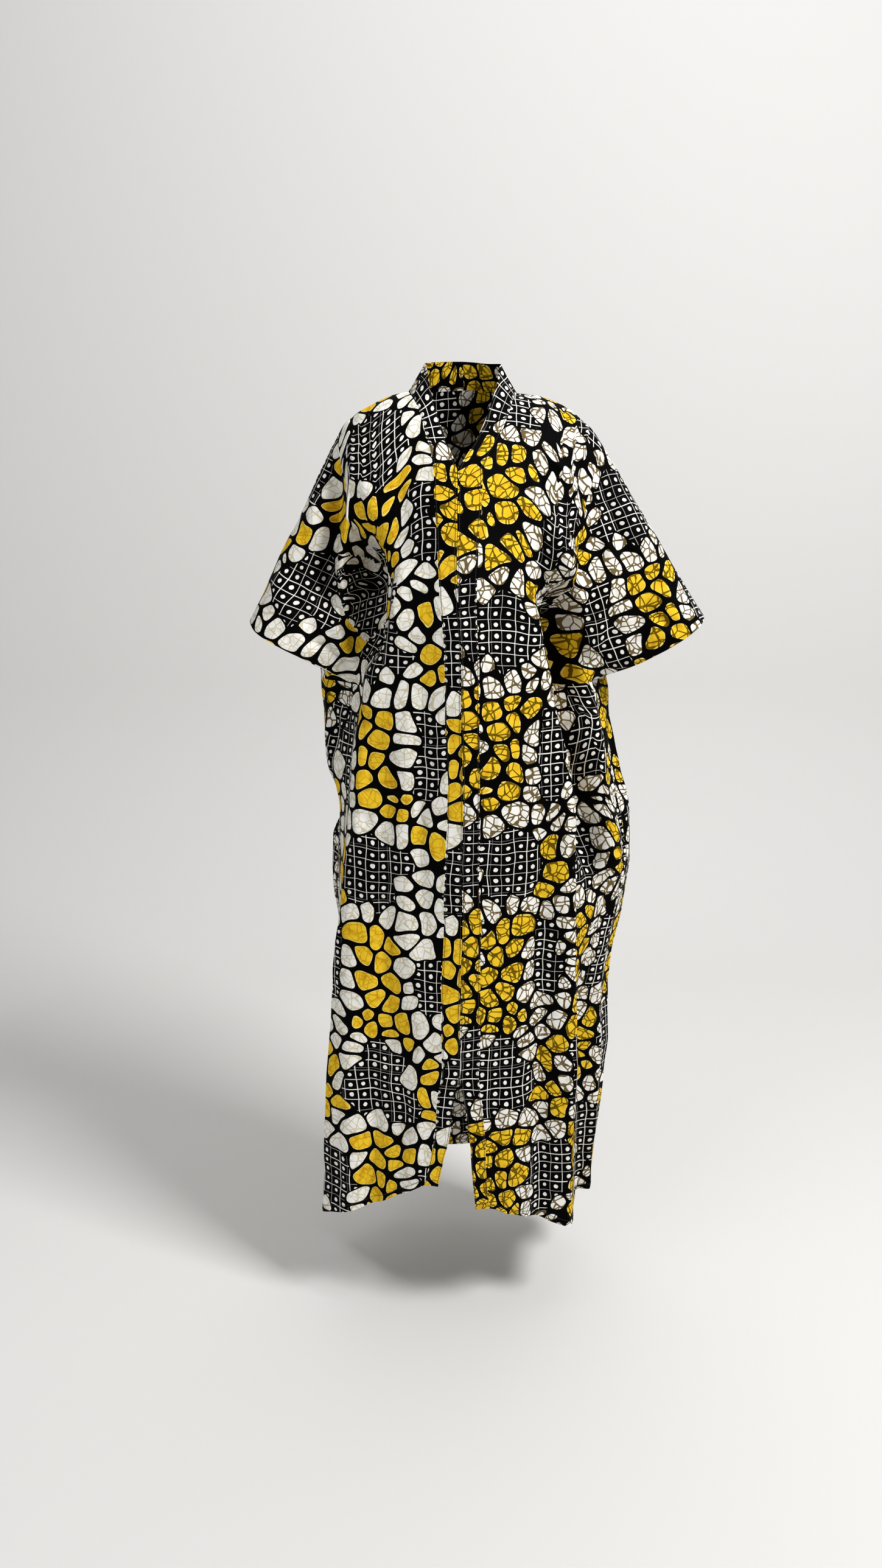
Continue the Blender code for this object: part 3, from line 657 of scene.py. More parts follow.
# The creases of each quarter, besides the folds of the solids.
CREASES = {
    (Side.RIGHT, Face.FRONT): (
        # The edge of the fold that hangs from the shoulder, over the hollow of the sleeve.
        Crease(
            ((0.163, -0.045), (0.166, -0.100), (0.172, -0.161), (0.181, -0.210), (0.188, -0.259),
             (0.181, -0.304), (0.166, -0.346), (0.147, -0.376)),
            0.010, 0.004, -0.012,
        ),
        Crease(((0.186, -0.080), (0.196, -0.170), (0.206, -0.255), (0.200, -0.330)), 0.019, -0.017),
        # The deep fold beside the chest and the hollow outside it.
        Crease(
            ((0.110, -0.215), (0.104, -0.257), (0.109, -0.295), (0.114, -0.340), (0.124, -0.430)),
            0.011, -0.006, -0.010,
        ),
        Crease(((0.146, -0.200), (0.146, -0.262), (0.150, -0.340)), 0.024, -0.036),
        Crease(((0.116, -0.250), (0.142, -0.262), (0.172, -0.246)), 0.008, 0.005),
        Crease(((0.120, -0.296), (0.147, -0.303), (0.170, -0.286)), 0.008, 0.005),
        # The pinch above the hollow.
        Crease(((0.166, -0.180), (0.152, -0.205), (0.151, -0.250)), 0.007, -0.007),
        Crease(((0.122, -0.176), (0.139, -0.202), (0.149, -0.240)), 0.007, -0.006),
        Crease(((0.145, -0.110), (0.134, -0.155), (0.121, -0.205)), 0.012, 0.006),
        Crease(((0.104, -0.080), (0.090, -0.150), (0.091, -0.222), (0.102, -0.275)), 0.013, -0.005),
        # The sleeve.
        Crease(((0.252, -0.165), (0.222, -0.250), (0.188, -0.340)), 0.016, -0.007),
        Crease(((0.296, -0.250), (0.254, -0.330), (0.226, -0.420)), 0.016, 0.006),
        Crease(((0.160, -0.402), (0.187, -0.362), (0.200, -0.310)), 0.009, 0.006),
        Crease(((0.158, -0.408), (0.170, -0.368), (0.176, -0.325)), 0.008, -0.006),
        Crease(((0.160, -0.408), (0.205, -0.376), (0.248, -0.355)), 0.009, -0.007),
        # The body below.
        Crease(((0.105, -0.420), (0.118, -0.620), (0.122, -0.850), (0.126, -1.150)), 0.015, -0.008),
        Crease(((0.148, -0.440), (0.156, -0.550), (0.168, -0.720)), 0.012, 0.007),
        Crease(((0.060, -0.330), (0.064, -0.600), (0.058, -0.920)), 0.013, -0.006),
        Crease(((0.170, -0.720), (0.181, -1.000), (0.186, -1.250), (0.190, -1.600)), 0.016, 0.008),
        Crease(((0.090, -0.780), (0.100, -1.050), (0.112, -1.350), (0.115, -1.700)), 0.018, -0.010),
        Crease(((0.150, -0.900), (0.146, -1.100), (0.152, -1.400), (0.150, -1.700)), 0.012, -0.007),
        Crease(((0.180, -0.600), (0.150, -0.625), (0.120, -0.690)), 0.011, -0.0035),
        Crease(((0.055, -1.000), (0.070, -1.120), (0.072, -1.320), (0.070, -1.500)), 0.012, 0.007),
    ),
    (Side.LEFT, Face.FRONT): (
        # The long dark fold from the chest to the side seam.
        Crease(
            ((0.098, -0.165), (0.111, -0.247), (0.127, -0.316), (0.149, -0.405), (0.168, -0.496),
             (0.184, -0.593), (0.203, -0.691), (0.216, -0.770)),
            0.016, -0.026,
        ),
        # The chest's cloth stands over it.
        Crease(
            ((0.104, -0.270), (0.116, -0.316), (0.137, -0.405), (0.155, -0.496), (0.171, -0.593),
             (0.190, -0.691), (0.203, -0.770)),
            0.008, 0.003, -0.010,
        ),
        # The side's cloth stands over it.
        Crease(
            ((0.140, -0.300), (0.158, -0.405), (0.177, -0.496), (0.193, -0.593), (0.212, -0.691),
             (0.225, -0.790)),
            0.007, 0.000, 0.014, fade=0.25, step_reach=5.0,
        ),
        Crease(
            ((0.165, -0.360), (0.190, -0.480), (0.208, -0.593), (0.226, -0.700), (0.238, -0.800)),
            0.016, 0.012,
        ),
        # The sleeve's cloth lies over it.
        Crease(
            ((0.116, -0.120), (0.129, -0.190), (0.143, -0.251), (0.155, -0.286), (0.172, -0.327),
             (0.186, -0.375), (0.198, -0.420)),
            0.011, 0.003, 0.010,
        ),
        Crease(
            ((0.196, -0.090), (0.208, -0.135), (0.223, -0.174), (0.239, -0.224), (0.252, -0.295)),
            0.013, -0.011,
        ),
        Crease(((0.232, -0.125), (0.262, -0.200), (0.290, -0.280)), 0.014, 0.004),
        # The pinch at the shoulder and the creases that run from it.
        Crease(
            ((0.098, -0.074), (0.125, -0.095), (0.141, -0.109), (0.165, -0.138)),
            0.008, 0.005, -0.002,
        ),
        Crease(((0.122, -0.178), (0.113, -0.135), (0.099, -0.088)), 0.008, -0.0045),
        Crease(((0.122, -0.178), (0.137, -0.134), (0.158, -0.098)), 0.008, -0.0050),
        Crease(((0.126, -0.176), (0.100, -0.150), (0.070, -0.130)), 0.009, -0.0045),
        Crease(((0.270, -0.300), (0.302, -0.331), (0.334, -0.350)), 0.008, -0.006),
        Crease(((0.200, -0.415), (0.220, -0.365), (0.236, -0.305)), 0.011, -0.008),
        Crease(((0.196, -0.420), (0.240, -0.392), (0.290, -0.372)), 0.010, 0.006),
        # The pleat that falls from the underarm to the hem.
        Crease(
            ((0.150, -0.400), (0.160, -0.500), (0.163, -0.620), (0.168, -0.800), (0.172, -1.000),
             (0.174, -1.250), (0.176, -1.700)),
            0.009, 0.010, -0.012,
        ),
        Crease(((0.075, -0.320), (0.083, -0.600), (0.078, -0.960)), 0.014, -0.006),
        Crease(((0.115, -0.540), (0.120, -0.850), (0.125, -1.200), (0.130, -1.700)), 0.015, -0.009),
        Crease(((0.205, -0.780), (0.204, -1.000), (0.210, -1.300), (0.212, -1.700)), 0.014, -0.017),
        Crease(((0.230, -0.600), (0.243, -0.740), (0.236, -0.960)), 0.011, 0.007),
        Crease(((0.244, -0.670), (0.224, -0.710), (0.190, -0.725)), 0.009, -0.005),
        Crease(((0.060, -1.020), (0.066, -1.160), (0.060, -1.380), (0.062, -1.600)), 0.012, 0.007),
    ),
    (Side.RIGHT, Face.BACK): (
        Crease(((0.200, -0.445), (0.200, -0.530), (0.196, -0.610)), 0.007, -0.006),
        Crease(((0.222, -0.480), (0.210, -0.550), (0.200, -0.612)), 0.007, 0.005),
        Crease(((0.196, -0.612), (0.206, -0.670), (0.214, -0.750)), 0.008, -0.006),
        Crease(((0.060, -0.120), (0.085, -0.300), (0.105, -0.520)), 0.018, -0.007),
        Crease(((0.155, -0.110), (0.142, -0.260), (0.155, -0.420)), 0.012, -0.008),
        Crease(((0.200, -0.120), (0.182, -0.250), (0.190, -0.400)), 0.011, 0.007),
        Crease(((0.280, -0.230), (0.238, -0.300), (0.208, -0.400)), 0.013, -0.006),
        Crease(((0.030, -0.500), (0.042, -0.900), (0.050, -1.300), (0.050, -1.700)), 0.018, 0.006),
        Crease(((0.140, -0.560), (0.152, -0.900), (0.156, -1.300), (0.160, -1.700)), 0.016, 0.007),
        Crease(((0.090, -0.700), (0.094, -1.000), (0.088, -1.400), (0.090, -1.700)), 0.013, -0.005),
    ),
    (Side.LEFT, Face.BACK): (
        Crease(((0.232, -0.440), (0.240, -0.530), (0.256, -0.640)), 0.008, -0.006),
        Crease(((0.262, -0.560), (0.262, -0.680), (0.250, -0.800)), 0.008, 0.005),
        Crease(((0.250, -0.780), (0.244, -0.950), (0.236, -1.300), (0.232, -1.700)), 0.009, -0.006),
        Crease(((0.050, -0.110), (0.078, -0.280), (0.090, -0.500)), 0.017, -0.007),
        Crease(((0.150, -0.100), (0.148, -0.240), (0.168, -0.410)), 0.012, -0.008),
        Crease(((0.212, -0.130), (0.196, -0.260), (0.206, -0.400)), 0.011, 0.007),
        Crease(((0.310, -0.250), (0.262, -0.320), (0.230, -0.410)), 0.013, -0.006),
        Crease(((0.018, -0.420), (0.012, -0.800), (0.020, -1.250), (0.020, -1.700)), 0.018, 0.005),
        Crease(((0.130, -0.520), (0.142, -0.900), (0.140, -1.300), (0.146, -1.700)), 0.016, 0.007),
        Crease(((0.076, -0.640), (0.084, -1.000), (0.090, -1.400), (0.094, -1.700)), 0.013, -0.006),
    ),
}


@dataclass(frozen=True)
class Creasing:
    """Adds to the worn form its creases, its small crumples and its turned hems.

    Creases fade out near the band and the top line, and at the side seam below the sleeve: from_band
    and seam_station are stations, from_top and underarm are levels. The seed settles the crumples, so
    each run gives the same cloth.
    """

    wave: float = 0.085
    wave_height: float = 0.0030
    rumple: float = 0.030
    rumple_height: float = 0.0010
    seed: int = 7
    from_band: float = 0.3
    from_top: float = 0.12
    underarm: tuple[float, float] = (0.72, 0.95)
    seam_station: float = 2.75
    hem_turn: float = 0.012
    hem_step: float = 0.0006
    hem_edge: float = 0.001
    hem_wave: float = 0.0025
    hem_wave_size: float = 0.026
    hem_wave_reach: float = 3.0

    def creases(
        self, side: Side, face: Face, points: np.ndarray, station: np.ndarray, level: np.ndarray
    ) -> np.ndarray:
        """How far the creases of one quarter move each point out; they fade out at the seams.

        Args:
            side, face: which quarter of the robe.
            points: its folded grid.
            station, level: the place of each point.

        Returns:
            The distances, with an axis for the coordinates.
        """
        place = np.stack([side.value * points[..., 0], points[..., 2]], -1)
        total = sum(crease.shift(place) for crease in CREASES[side, face])
        first = 0 if face is Face.FRONT else -1
        at_first = smooth_step(station, first, first + self.from_band)
        in_seam = smooth_step(level, *self.underarm)
        at_last = 1 - in_seam * (1 - smooth_step(station, 3, self.seam_station))
        return (total * smooth_step(level, 0, self.from_top) * at_first * at_last)[..., None]

    def crumpled(self, points: np.ndarray) -> np.ndarray:
        """The points with small waves, the same on both sides of a seam.

        Args:
            points: a grid.

        Returns:
            The moved points.
        """
        noise.seed_set(self.seed)
        flat = points.reshape(-1, 3)
        waves = np.array([noise.noise_vector(Vector(point / self.wave)) for point in flat])
        rumples = np.array([noise.noise_vector(Vector(point / self.rumple)) for point in flat])
        shift = waves * self.wave_height + rumples * self.rumple_height
        return points + shift.reshape(points.shape)

    def hemmed(self, points: np.ndarray, facing: int, from_hem: np.ndarray) -> np.ndarray:
        """The points with a turned hem, thicker than the cloth and a little wavy.

        Args:
            points: a grid.
            facing: 1 or -1, for the side that is out.
            from_hem: how far each point lies from the nearest hem, along the cloth.

        Returns:
            The moved points.
        """
        flat = points.reshape(-1, 3)
        ripple = np.array([noise.noise(Vector(point / self.hem_wave_size)) for point in flat])
        near = smooth_step(from_hem, self.hem_wave_reach * self.hem_turn, 0)
        turned = smooth_step(from_hem, self.hem_turn + self.hem_edge, self.hem_turn - self.hem_edge)
        out = self.hem_step * turned + self.hem_wave * near * ripple.reshape(near.shape)
        return points + facing * grid_normals(points) * out[..., None]

    def finished(self, points: np.ndarray, facing: int, from_hem: np.ndarray) -> np.ndarray:
        """The points with both their crumples and their turned hem, as hemmed takes them."""
        return self.hemmed(self.crumpled(points), facing, from_hem)


@dataclass
class ClothGrid:
    """A piece of cloth as a grid: its points, where each of its parts lies on the flat cut, which
    part each face belongs to, and how crackled it is.
    """

    points: np.ndarray
    cuts: list[np.ndarray]
    part: np.ndarray
    crackle: np.ndarray
    facing: int
    to_hem: np.ndarray

    @property
    def normals(self) -> np.ndarray:
        """Unit normals on the outside of the robe."""
        return self.facing * grid_normals(self.points)


def linear(code: str) -> tuple[float, float, float, float]:
    """An sRGB hex colour as linear RGBA.

    Args:
        code: the colour, as "#RRGGBB".

    Returns:
        Its red, green and blue, and an alpha of 1.
    """
    parts = [int(code[i : i + 2], 16) / 255 for i in (1, 3, 5)]
    lit = [((c + 0.055) / 1.055) ** 2.4 if c > 0.04045 else c / 12.92 for c in parts]
    return (*lit, 1.0)


class Nodes:
    """A material's node tree."""

    def __init__(self, name: str) -> None:
        """Makes a material with a bare Principled shader.

        Args:
            name: the material's name.
        """
        self.material = bpy.data.materials.new(name)
        self.material.use_nodes = True
        self.tree = self.material.node_tree
        self.shader = self.tree.nodes["Principled BSDF"]

    def add(self, kind: str, settings: dict | None = None, **links: object) -> bpy.types.Node:
        """Adds a node with its settings and links.

        Args:
            kind: the node's type, without "ShaderNode".
            settings: its properties.
            links: its inputs by name or by "i" and number, as a socket or a value.

        Returns:
            The node.
        """
        node = self.tree.nodes.new("ShaderNode" + kind)
        for name, value in (settings or {}).items():
            setattr(node, name, value)
        for name, value in links.items():
            key = int(name[1:]) if name[1:].isdigit() else name.replace("_", " ")
            socket = node.inputs[key]
            if isinstance(value, bpy.types.NodeSocket):
                self.tree.links.new(value, socket)
            else:
                socket.default_value = value
        return node

    def math(self, operation: str, *values: object) -> bpy.types.NodeSocket:
        """The result of a Math node on sockets or numbers."""
        links = {f"i{i}": value for i, value in enumerate(values)}
        return self.add("Math", {"operation": operation}, **links).outputs[0]

    def vector(self, operation: str, *values: object) -> bpy.types.NodeSocket:
        """The vector result of a Vector Math node on sockets or vectors."""
        links = {f"i{i}": value for i, value in enumerate(values)}
        return self.add("VectorMath", {"operation": operation}, **links).outputs[0]

    def noise(self, place: object, scale: float, detail: float = 2.0) -> bpy.types.Node:
        """Adds soft noise over a place on the cut.

        Args:
            place: the place's socket.
            scale: how many waves there are to a metre.
            detail: how many finer waves are added.

        Returns:
            The noise's node.
        """
        flat = {"noise_dimensions": "2D"}
        return self.add("TexNoise", flat, Vector=place, Scale=scale, Detail=detail)

    def chance(self, line: object) -> bpy.types.NodeSocket:
        """A random number from 0 to 1 for each line's own number."""
        return self.add("TexWhiteNoise", {"noise_dimensions": "1D"}, W=line).outputs[0]

    def cells(self, feature: str, place: object, size: float, **links: object) -> bpy.types.Node:
        """Adds cells about points strewn over the cut.

        Args:
            feature: what the node measures of them.
            place: the place's socket.
            size: how far apart the cells are, in metres.
            links: the node's other inputs.

        Returns:
            The cells' node.
        """
        settings = {"voronoi_dimensions": "2D", "feature": feature}
        return self.add("TexVoronoi", settings, Vector=place, Scale=1 / size, **links)

    def step(self, value: object, low: float, high: float) -> bpy.types.NodeSocket:
        """0 to 1 as the value goes from low to high, eased.

        Args:
            value: a socket or a number.
            low, high: where it starts and ends; high may be the lower of the two.

        Returns:
            The eased value's socket.
        """
        node = self.add("MapRange", {"interpolation_type": "SMOOTHSTEP"}, i0=value)
        if low < high:
            ends = (low, high, 0.0, 1.0)
        else:
            ends = (high, low, 1.0, 0.0)
        for i, end in enumerate(ends):
            node.inputs[i + 1].default_value = end
        return node.outputs[0]

    def mix(self, factor: object, first: object, second: object) -> bpy.types.NodeSocket:
        """A mix of two colours.

        Args:
            factor: how much of the second there is, as a socket or a number.
            first, second: the colours, as sockets or as linear RGBA.

        Returns:
            The mixed colour's socket.
        """
        node = self.add("Mix", {"data_type": "RGBA"})
        for i, value in ((0, factor), (6, first), (7, second)):
            if isinstance(value, bpy.types.NodeSocket):
                self.tree.links.new(value, node.inputs[i])
            else:
                node.inputs[i].default_value = value
        return node.outputs[2]


@dataclass(frozen=True)
class WaxPrint:
    """Roller-printed wax cotton: pebbles and dotted grids left in white and yellow on black.

    The wax resist cracks before the dye bath, so fine dark veins run over the light parts. The cloth
    is plain woven, calendered and crisp: matt to the eye, with a low broad sheen on its folds.

    Sizes are in metres. A warp is the size of its noise and how far it pushes, a scale is how many
    waves there are to a metre, and a range is where something starts and ends. A thread's turn is in
    radians to a metre, for one thread each millimetre.
    """

    name: str = "wax_print_cotton"
    # The dyes.
    ground: str = "#050404"
    white: str = "#F3F1EB"
    dull_white: str = "#DFDCD0"
    yellow: str = "#F1C62C"
    deep_yellow: str = "#D8A51C"
    rim_yellow: str = "#F8E694"
    vein: str = "#5C4806"
    faint_vein: str = "#CDC39A"
    # The repeat and its dotted patches, each with a ring of white pebbles.
    repeat_across: float = 0.175
    repeat_down: float = 0.352
    large_patch: tuple[float, float] = (0.051, 0.058)
    small_patch: tuple[float, float] = (0.027, 0.064)
    patch_power: float = 3.0
    ring: float = 0.0235
    # The pebbles.
    pebble: float = 0.0315
    pebble_warp: tuple[float, float] = (0.075, 0.016)
    pebble_gap: float = 0.0023
    pebble_gap_range: tuple[float, float] = (0.8, 1.2)
    pebble_edge: float = 0.049
    pebble_edge_blur: float = 0.004
    pebble_rim: tuple[float, float] = (0.017, 0.009)
    pebble_smoothness: float = 0.9
    pebble_randomness: float = 0.95
    # Where the dye has taken less evenly.
    dull_scale: float = 70.0
    dull_detail: float = 3.0
    dull_range: tuple[float, float] = (0.45, 0.75)
    # The grid's lines and dots.
    grid_across: float = 0.0196
    grid_down: float = 0.0166
    grid_warp: tuple[float, float] = (0.050, 0.0035)
    grid_seeds: tuple[float, float] = (3.0, 11.0)
    grid_blur: float = 0.0003
    line: float = 0.0001
    line_spread: float = 0.0006
    line_doubled: float = 0.85
    line_second: float = 0.0042
    dot: float = 0.0034
    dot_scale: float = 90.0
    dot_least: float = 0.45
    dot_aside: float = 0.12
    # The crackle's two nets of veins.
    vein_spacings: tuple[float, float] = (0.0150, 0.0210)
    vein_shift: tuple[float, float, float] = (0.31, 0.17, 0.0)
    vein_warp: tuple[float, float] = (0.030, 0.0025)
    vein_width: float = 0.0009
    vein_swell: float = 0.0018
    vein_swell_scale: float = 55.0
    vein_swell_range: tuple[float, float] = (0.50, 0.80)
    vein_web: float = 0.0018
    vein_blur: float = 0.0002
    vein_faint_width: float = 0.7
    vein_faint_shade: float = 0.7
    vein_strong_shade: float = 0.95
    # The gloss and the relief.
    roughness: float = 0.62
    specular: float = 0.02
    rumple_scale: float = 60.0
    rumple_detail: float = 3.0
    rumple_strength: float = 0.35
    rumple_depth: float = 0.0012
    thread_turn: float = 6283.0
    thread_strength: float = 0.25
    thread_depth: float = 0.0001

    def build(self) -> bpy.types.Material:
        """Makes the material.

        Returns:
            The material, which reads the cut map and the crackle attribute.
        """
        nodes = Nodes(self.name)
        cut = nodes.add("UVMap", {"uv_map": CUT_MAP}).outputs[0]
        warped = self.warped(nodes, cut, *self.pebble_warp)
        cell, inside, rim = self.pebbles(nodes, warped)
        patch = self.patch_distance(nodes, cell)
        in_grid = nodes.math("LESS_THAN", patch, 0.0)
        in_ring = nodes.math("LESS_THAN", patch, self.ring)
        mottled = nodes.noise(cut, self.dull_scale, self.dull_detail)
        dull = nodes.step(mottled.outputs[0], *self.dull_range)
        yellow = nodes.mix(dull, linear(self.yellow), linear(self.deep_yellow))
        yellow = nodes.mix(rim, yellow, linear(self.rim_yellow))
        white = nodes.mix(dull, linear(self.white), linear(self.dull_white))
        veined = self.veined(nodes, cut, nodes.mix(in_ring, yellow, white))
        light = nodes.mix(inside, linear(self.ground), veined)
        grid = nodes.mix(self.grid_lines(nodes, cut), linear(self.ground), white)
        colour = nodes.mix(in_grid, light, grid)
        nodes.tree.links.new(colour, nodes.shader.inputs["Base Color"])
        self.surface(nodes, cut)
        return nodes.material

    def warped(
        self, nodes: Nodes, place: bpy.types.NodeSocket, wave: float, reach: float
    ) -> bpy.types.NodeSocket:
        """The place pushed about by soft noise.

        Args:
            nodes: the tree.
            place: the place on the cut, in metres.
            wave: the size of the noise.
            reach: how far it pushes.

        Returns:
            The pushed place.
        """
        soft = nodes.noise(place, 1 / wave, 1.0)
        centred = nodes.vector("SUBTRACT", soft.outputs[1], (0.5, 0.5, 0.5))
        scaled = nodes.vector("MULTIPLY", centred, (2 * reach, 2 * reach, 0.0))
        return nodes.vector("ADD", place, scaled)

    def pebbles(
        self, nodes: Nodes, place: bpy.types.NodeSocket
    ) -> tuple[bpy.types.NodeSocket, bpy.types.NodeSocket, bpy.types.NodeSocket]:
        """Rounded pebbles, one to a cell: the sharp and the smoothed distance to the cells' middles
        part only near their edges, and most of all at their corners, so a limit on that is round.

        Args:
            nodes: the tree.
            place: the place on the cut.

        Returns:
            The middle of the cell, 1 inside its pebble, and 1 at the pebble's rim.
        """
        random = self.pebble_randomness
        smooth = self.pebble_smoothness
        size = self.pebble
        sharp = nodes.cells("F1", place, size, Randomness=random)
        soft = nodes.cells("SMOOTH_F1", place, size, Smoothness=smooth, Randomness=random)
        near_edge = nodes.math("SUBTRACT", sharp.outputs["Distance"], soft.outputs["Distance"])
        border = nodes.cells("DISTANCE_TO_EDGE", place, size, Randomness=random)
        low, high = (part * self.pebble_gap / size for part in self.pebble_gap_range)
        apart = nodes.step(border.outputs["Distance"], low, high)
        edge, blur = self.pebble_edge, self.pebble_edge_blur
        inside = nodes.math("MINIMUM", nodes.step(near_edge, edge + blur, edge - blur), apart)
        outer, inner = self.pebble_rim
        rim = nodes.math("MULTIPLY", nodes.step(near_edge, edge - outer, edge - inner), inside)
        return sharp.outputs["Position"], inside, rim

    def patch_distance(
        self, nodes: Nodes, place: bpy.types.NodeSocket
    ) -> bpy.types.NodeSocket:
        """How far outside the nearest dotted patch a place is, negative inside.

        Args:
            nodes: the tree.
            place: the middle of a pebble's cell.

        Returns:
            The distance in metres.
        """
        found = []
        half = (self.repeat_across / 2, self.repeat_down / 2)
        for (wide, tall), shift in ((self.large_patch, (0, 0)), (self.small_patch, half)):
            moved = nodes.vector("SUBTRACT", place, (*shift, 0.0))
            split = nodes.add("SeparateXYZ", None, Vector=moved)
            near = []
            for axis, repeat, size in ((0, self.repeat_across, wide), (1, self.repeat_down, tall)):
                turns = nodes.math("DIVIDE", split.outputs[axis], repeat)
                rest = nodes.math("SUBTRACT", turns, nodes.math("ROUND", turns))
                part = nodes.math("MULTIPLY", nodes.math("ABSOLUTE", rest), repeat / size)
                near.append(nodes.math("POWER", part, self.patch_power))
            total = nodes.math("ADD", near[0], near[1])
            rounded = nodes.math("POWER", total, 1 / self.patch_power)
            outside = nodes.math("SUBTRACT", rounded, 1.0)
            found.append(nodes.math("MULTIPLY", outside, min(wide, tall)))
        return nodes.math("MINIMUM", found[0], found[1])

    def grid_lines(self, nodes: Nodes, place: bpy.types.NodeSocket) -> bpy.types.NodeSocket:
        """Hand-drawn grid lines, some of them doubled, with a dot in each cell.

        Args:
            nodes: the tree.
            place: the place on the cut.

        Returns:
            1 on a line or a dot.
        """
        wavy = self.warped(nodes, place, *self.grid_warp)
        split = nodes.add("SeparateXYZ", None, Vector=wavy)
        lines, cells = [], []
        spacings = (self.grid_across, self.grid_down)
        for axis, (spacing, seed) in enumerate(zip(spacings, self.grid_seeds)):
            turns = nodes.math("DIVIDE", split.outputs[axis], spacing)
            index = nodes.math("FLOOR", turns)
            part = nodes.math("SUBTRACT", turns, index)
            nearer = nodes.math("MINIMUM", part, nodes.math("SUBTRACT", 1.0, part))
            stroke = nodes.chance(nodes.math("ADD", nodes.math("ROUND", turns), seed + 0.5))
            stroke = nodes.math("MULTIPLY_ADD", stroke, self.line_spread, self.line)
            aside = nodes.math("SUBTRACT", nodes.math("MULTIPLY", nearer, spacing), stroke)
            chance = nodes.chance(nodes.math("ADD", index, seed))
            doubled = nodes.math("GREATER_THAN", chance, self.line_doubled)
            second = nodes.math("SUBTRACT", nodes.math("MULTIPLY", part, spacing), self.line_second)
            second = nodes.math("ABSOLUTE", second)
            second = nodes.math("ADD", second, nodes.math("SUBTRACT", 1.0, doubled))
            lines.append(nodes.math("MINIMUM", aside, second))
            middle = nodes.math("ADD", nodes.math("MULTIPLY", doubled, self.dot_aside), 0.5)
            off_middle = nodes.math("SUBTRACT", part, middle)
            cells.append(nodes.math("POWER", nodes.math("MULTIPLY", off_middle, spacing), 2.0))
        blur = (self.grid_blur, -self.grid_blur)
        on_line = nodes.step(nodes.math("MINIMUM", *lines), *blur)
        far = nodes.math("SQRT", nodes.math("ADD", *cells))
        wobble = nodes.noise(place, self.dot_scale)
        radius = nodes.math("ADD", wobble.outputs[0], self.dot_least)
        radius = nodes.math("MULTIPLY", radius, self.dot)
        on_dot = nodes.step(nodes.math("SUBTRACT", far, radius), *blur)
        return nodes.math("MAXIMUM", on_line, on_dot)

    def veined(
        self, nodes: Nodes, place: bpy.types.NodeSocket, colour: object
    ) -> bpy.types.NodeSocket:
        """A light colour with the crackle of the wax over it.

        Args:
            nodes: the tree.
            place: the place on the cut.
            colour: the light colour.

        Returns:
            The colour with veins.
        """
        bent = self.warped(nodes, place, *self.vein_warp)
        nets = []
        for spacing, shift in zip(self.vein_spacings, ((0.0, 0.0, 0.0), self.vein_shift)):
            net = nodes.cells("DISTANCE_TO_EDGE", nodes.vector("ADD", bent, shift), spacing)
            nets.append(nodes.math("MULTIPLY", net.outputs["Distance"], spacing))
        near = nodes.math("SMOOTH_MIN", *nets, self.vein_web)
        amount = nodes.add("Attribute", {"attribute_name": CRACKLE}).outputs["Fac"]
        patchy = nodes.noise(place, self.vein_swell_scale)
        swell = nodes.step(patchy.outputs[0], *self.vein_swell_range)
        swell = nodes.math("MULTIPLY_ADD", swell, self.vein_swell, self.vein_width)
        faint_width = self.vein_faint_width
        width = nodes.math("MULTIPLY_ADD", amount, 1.0 - faint_width, faint_width)
        wide = nodes.math("MULTIPLY", swell, width)
        blur = self.vein_blur
        line = nodes.step(nodes.math("SUBTRACT", near, wide), blur, -blur)
        faint = nodes.vector("MULTIPLY", colour, linear(self.faint_vein)[:3])
        stain = nodes.mix(amount, faint, linear(self.vein))
        low, high = self.vein_faint_shade, self.vein_strong_shade
        shade = nodes.math("MULTIPLY_ADD", amount, high - low, low)
        return nodes.mix(nodes.math("MULTIPLY", line, shade), colour, stain)

    def surface(self, nodes: Nodes, cut: bpy.types.NodeSocket) -> None:
        """Gloss and fine relief. The weave's threads are 0.3 mm apart, too fine to show, so they are
        drawn 1 mm apart.

        Args:
            nodes: the tree.
            cut: the place on the cut.
        """
        shader = nodes.shader
        shader.inputs["Roughness"].default_value = self.roughness
        shader.inputs["Specular IOR Level"].default_value = self.specular
        rumple = nodes.noise(cut, self.rumple_scale, self.rumple_detail)
        strength, depth = self.rumple_strength, self.rumple_depth
        bump = nodes.add("Bump", None, Strength=strength, Distance=depth, Height=rumple.outputs[0])
        threads = nodes.vector("MULTIPLY", cut, (self.thread_turn, self.thread_turn, 0.0))
        split = nodes.add("SeparateXYZ", None, Vector=threads)
        weave = nodes.math("MULTIPLY", *(nodes.math("SINE", split.outputs[i]) for i in (0, 1)))
        fine = nodes.add(
            "Bump",
            None,
            Strength=self.thread_strength,
            Distance=self.thread_depth,
            Height=weave,
            Normal=bump.outputs[0],
        )
        nodes.tree.links.new(fine.outputs[0], shader.inputs["Normal"])


@dataclass(frozen=True)
class PlainFinish:
    """A finish of one even colour."""

    name: str
    colour: str
    roughness: float

    def build(self) -> bpy.types.Material:
        """Makes the material.

        Returns:
            The material.
        """
        nodes = Nodes(self.name)
        nodes.shader.inputs["Base Color"].default_value = linear(self.colour)
        nodes.shader.inputs["Roughness"].default_value = self.roughness
        return nodes.material


# Dark polished cotton thread, which catches a dull light on its twist.
COTTON_THREAD = PlainFinish("cotton_thread", "#1E1A17", 0.7)
# Matt wall paint, which spreads the light evenly and shows no gloss.
MATT_PAINT = PlainFinish("matt_paint", "#E4E3E1", 0.85)


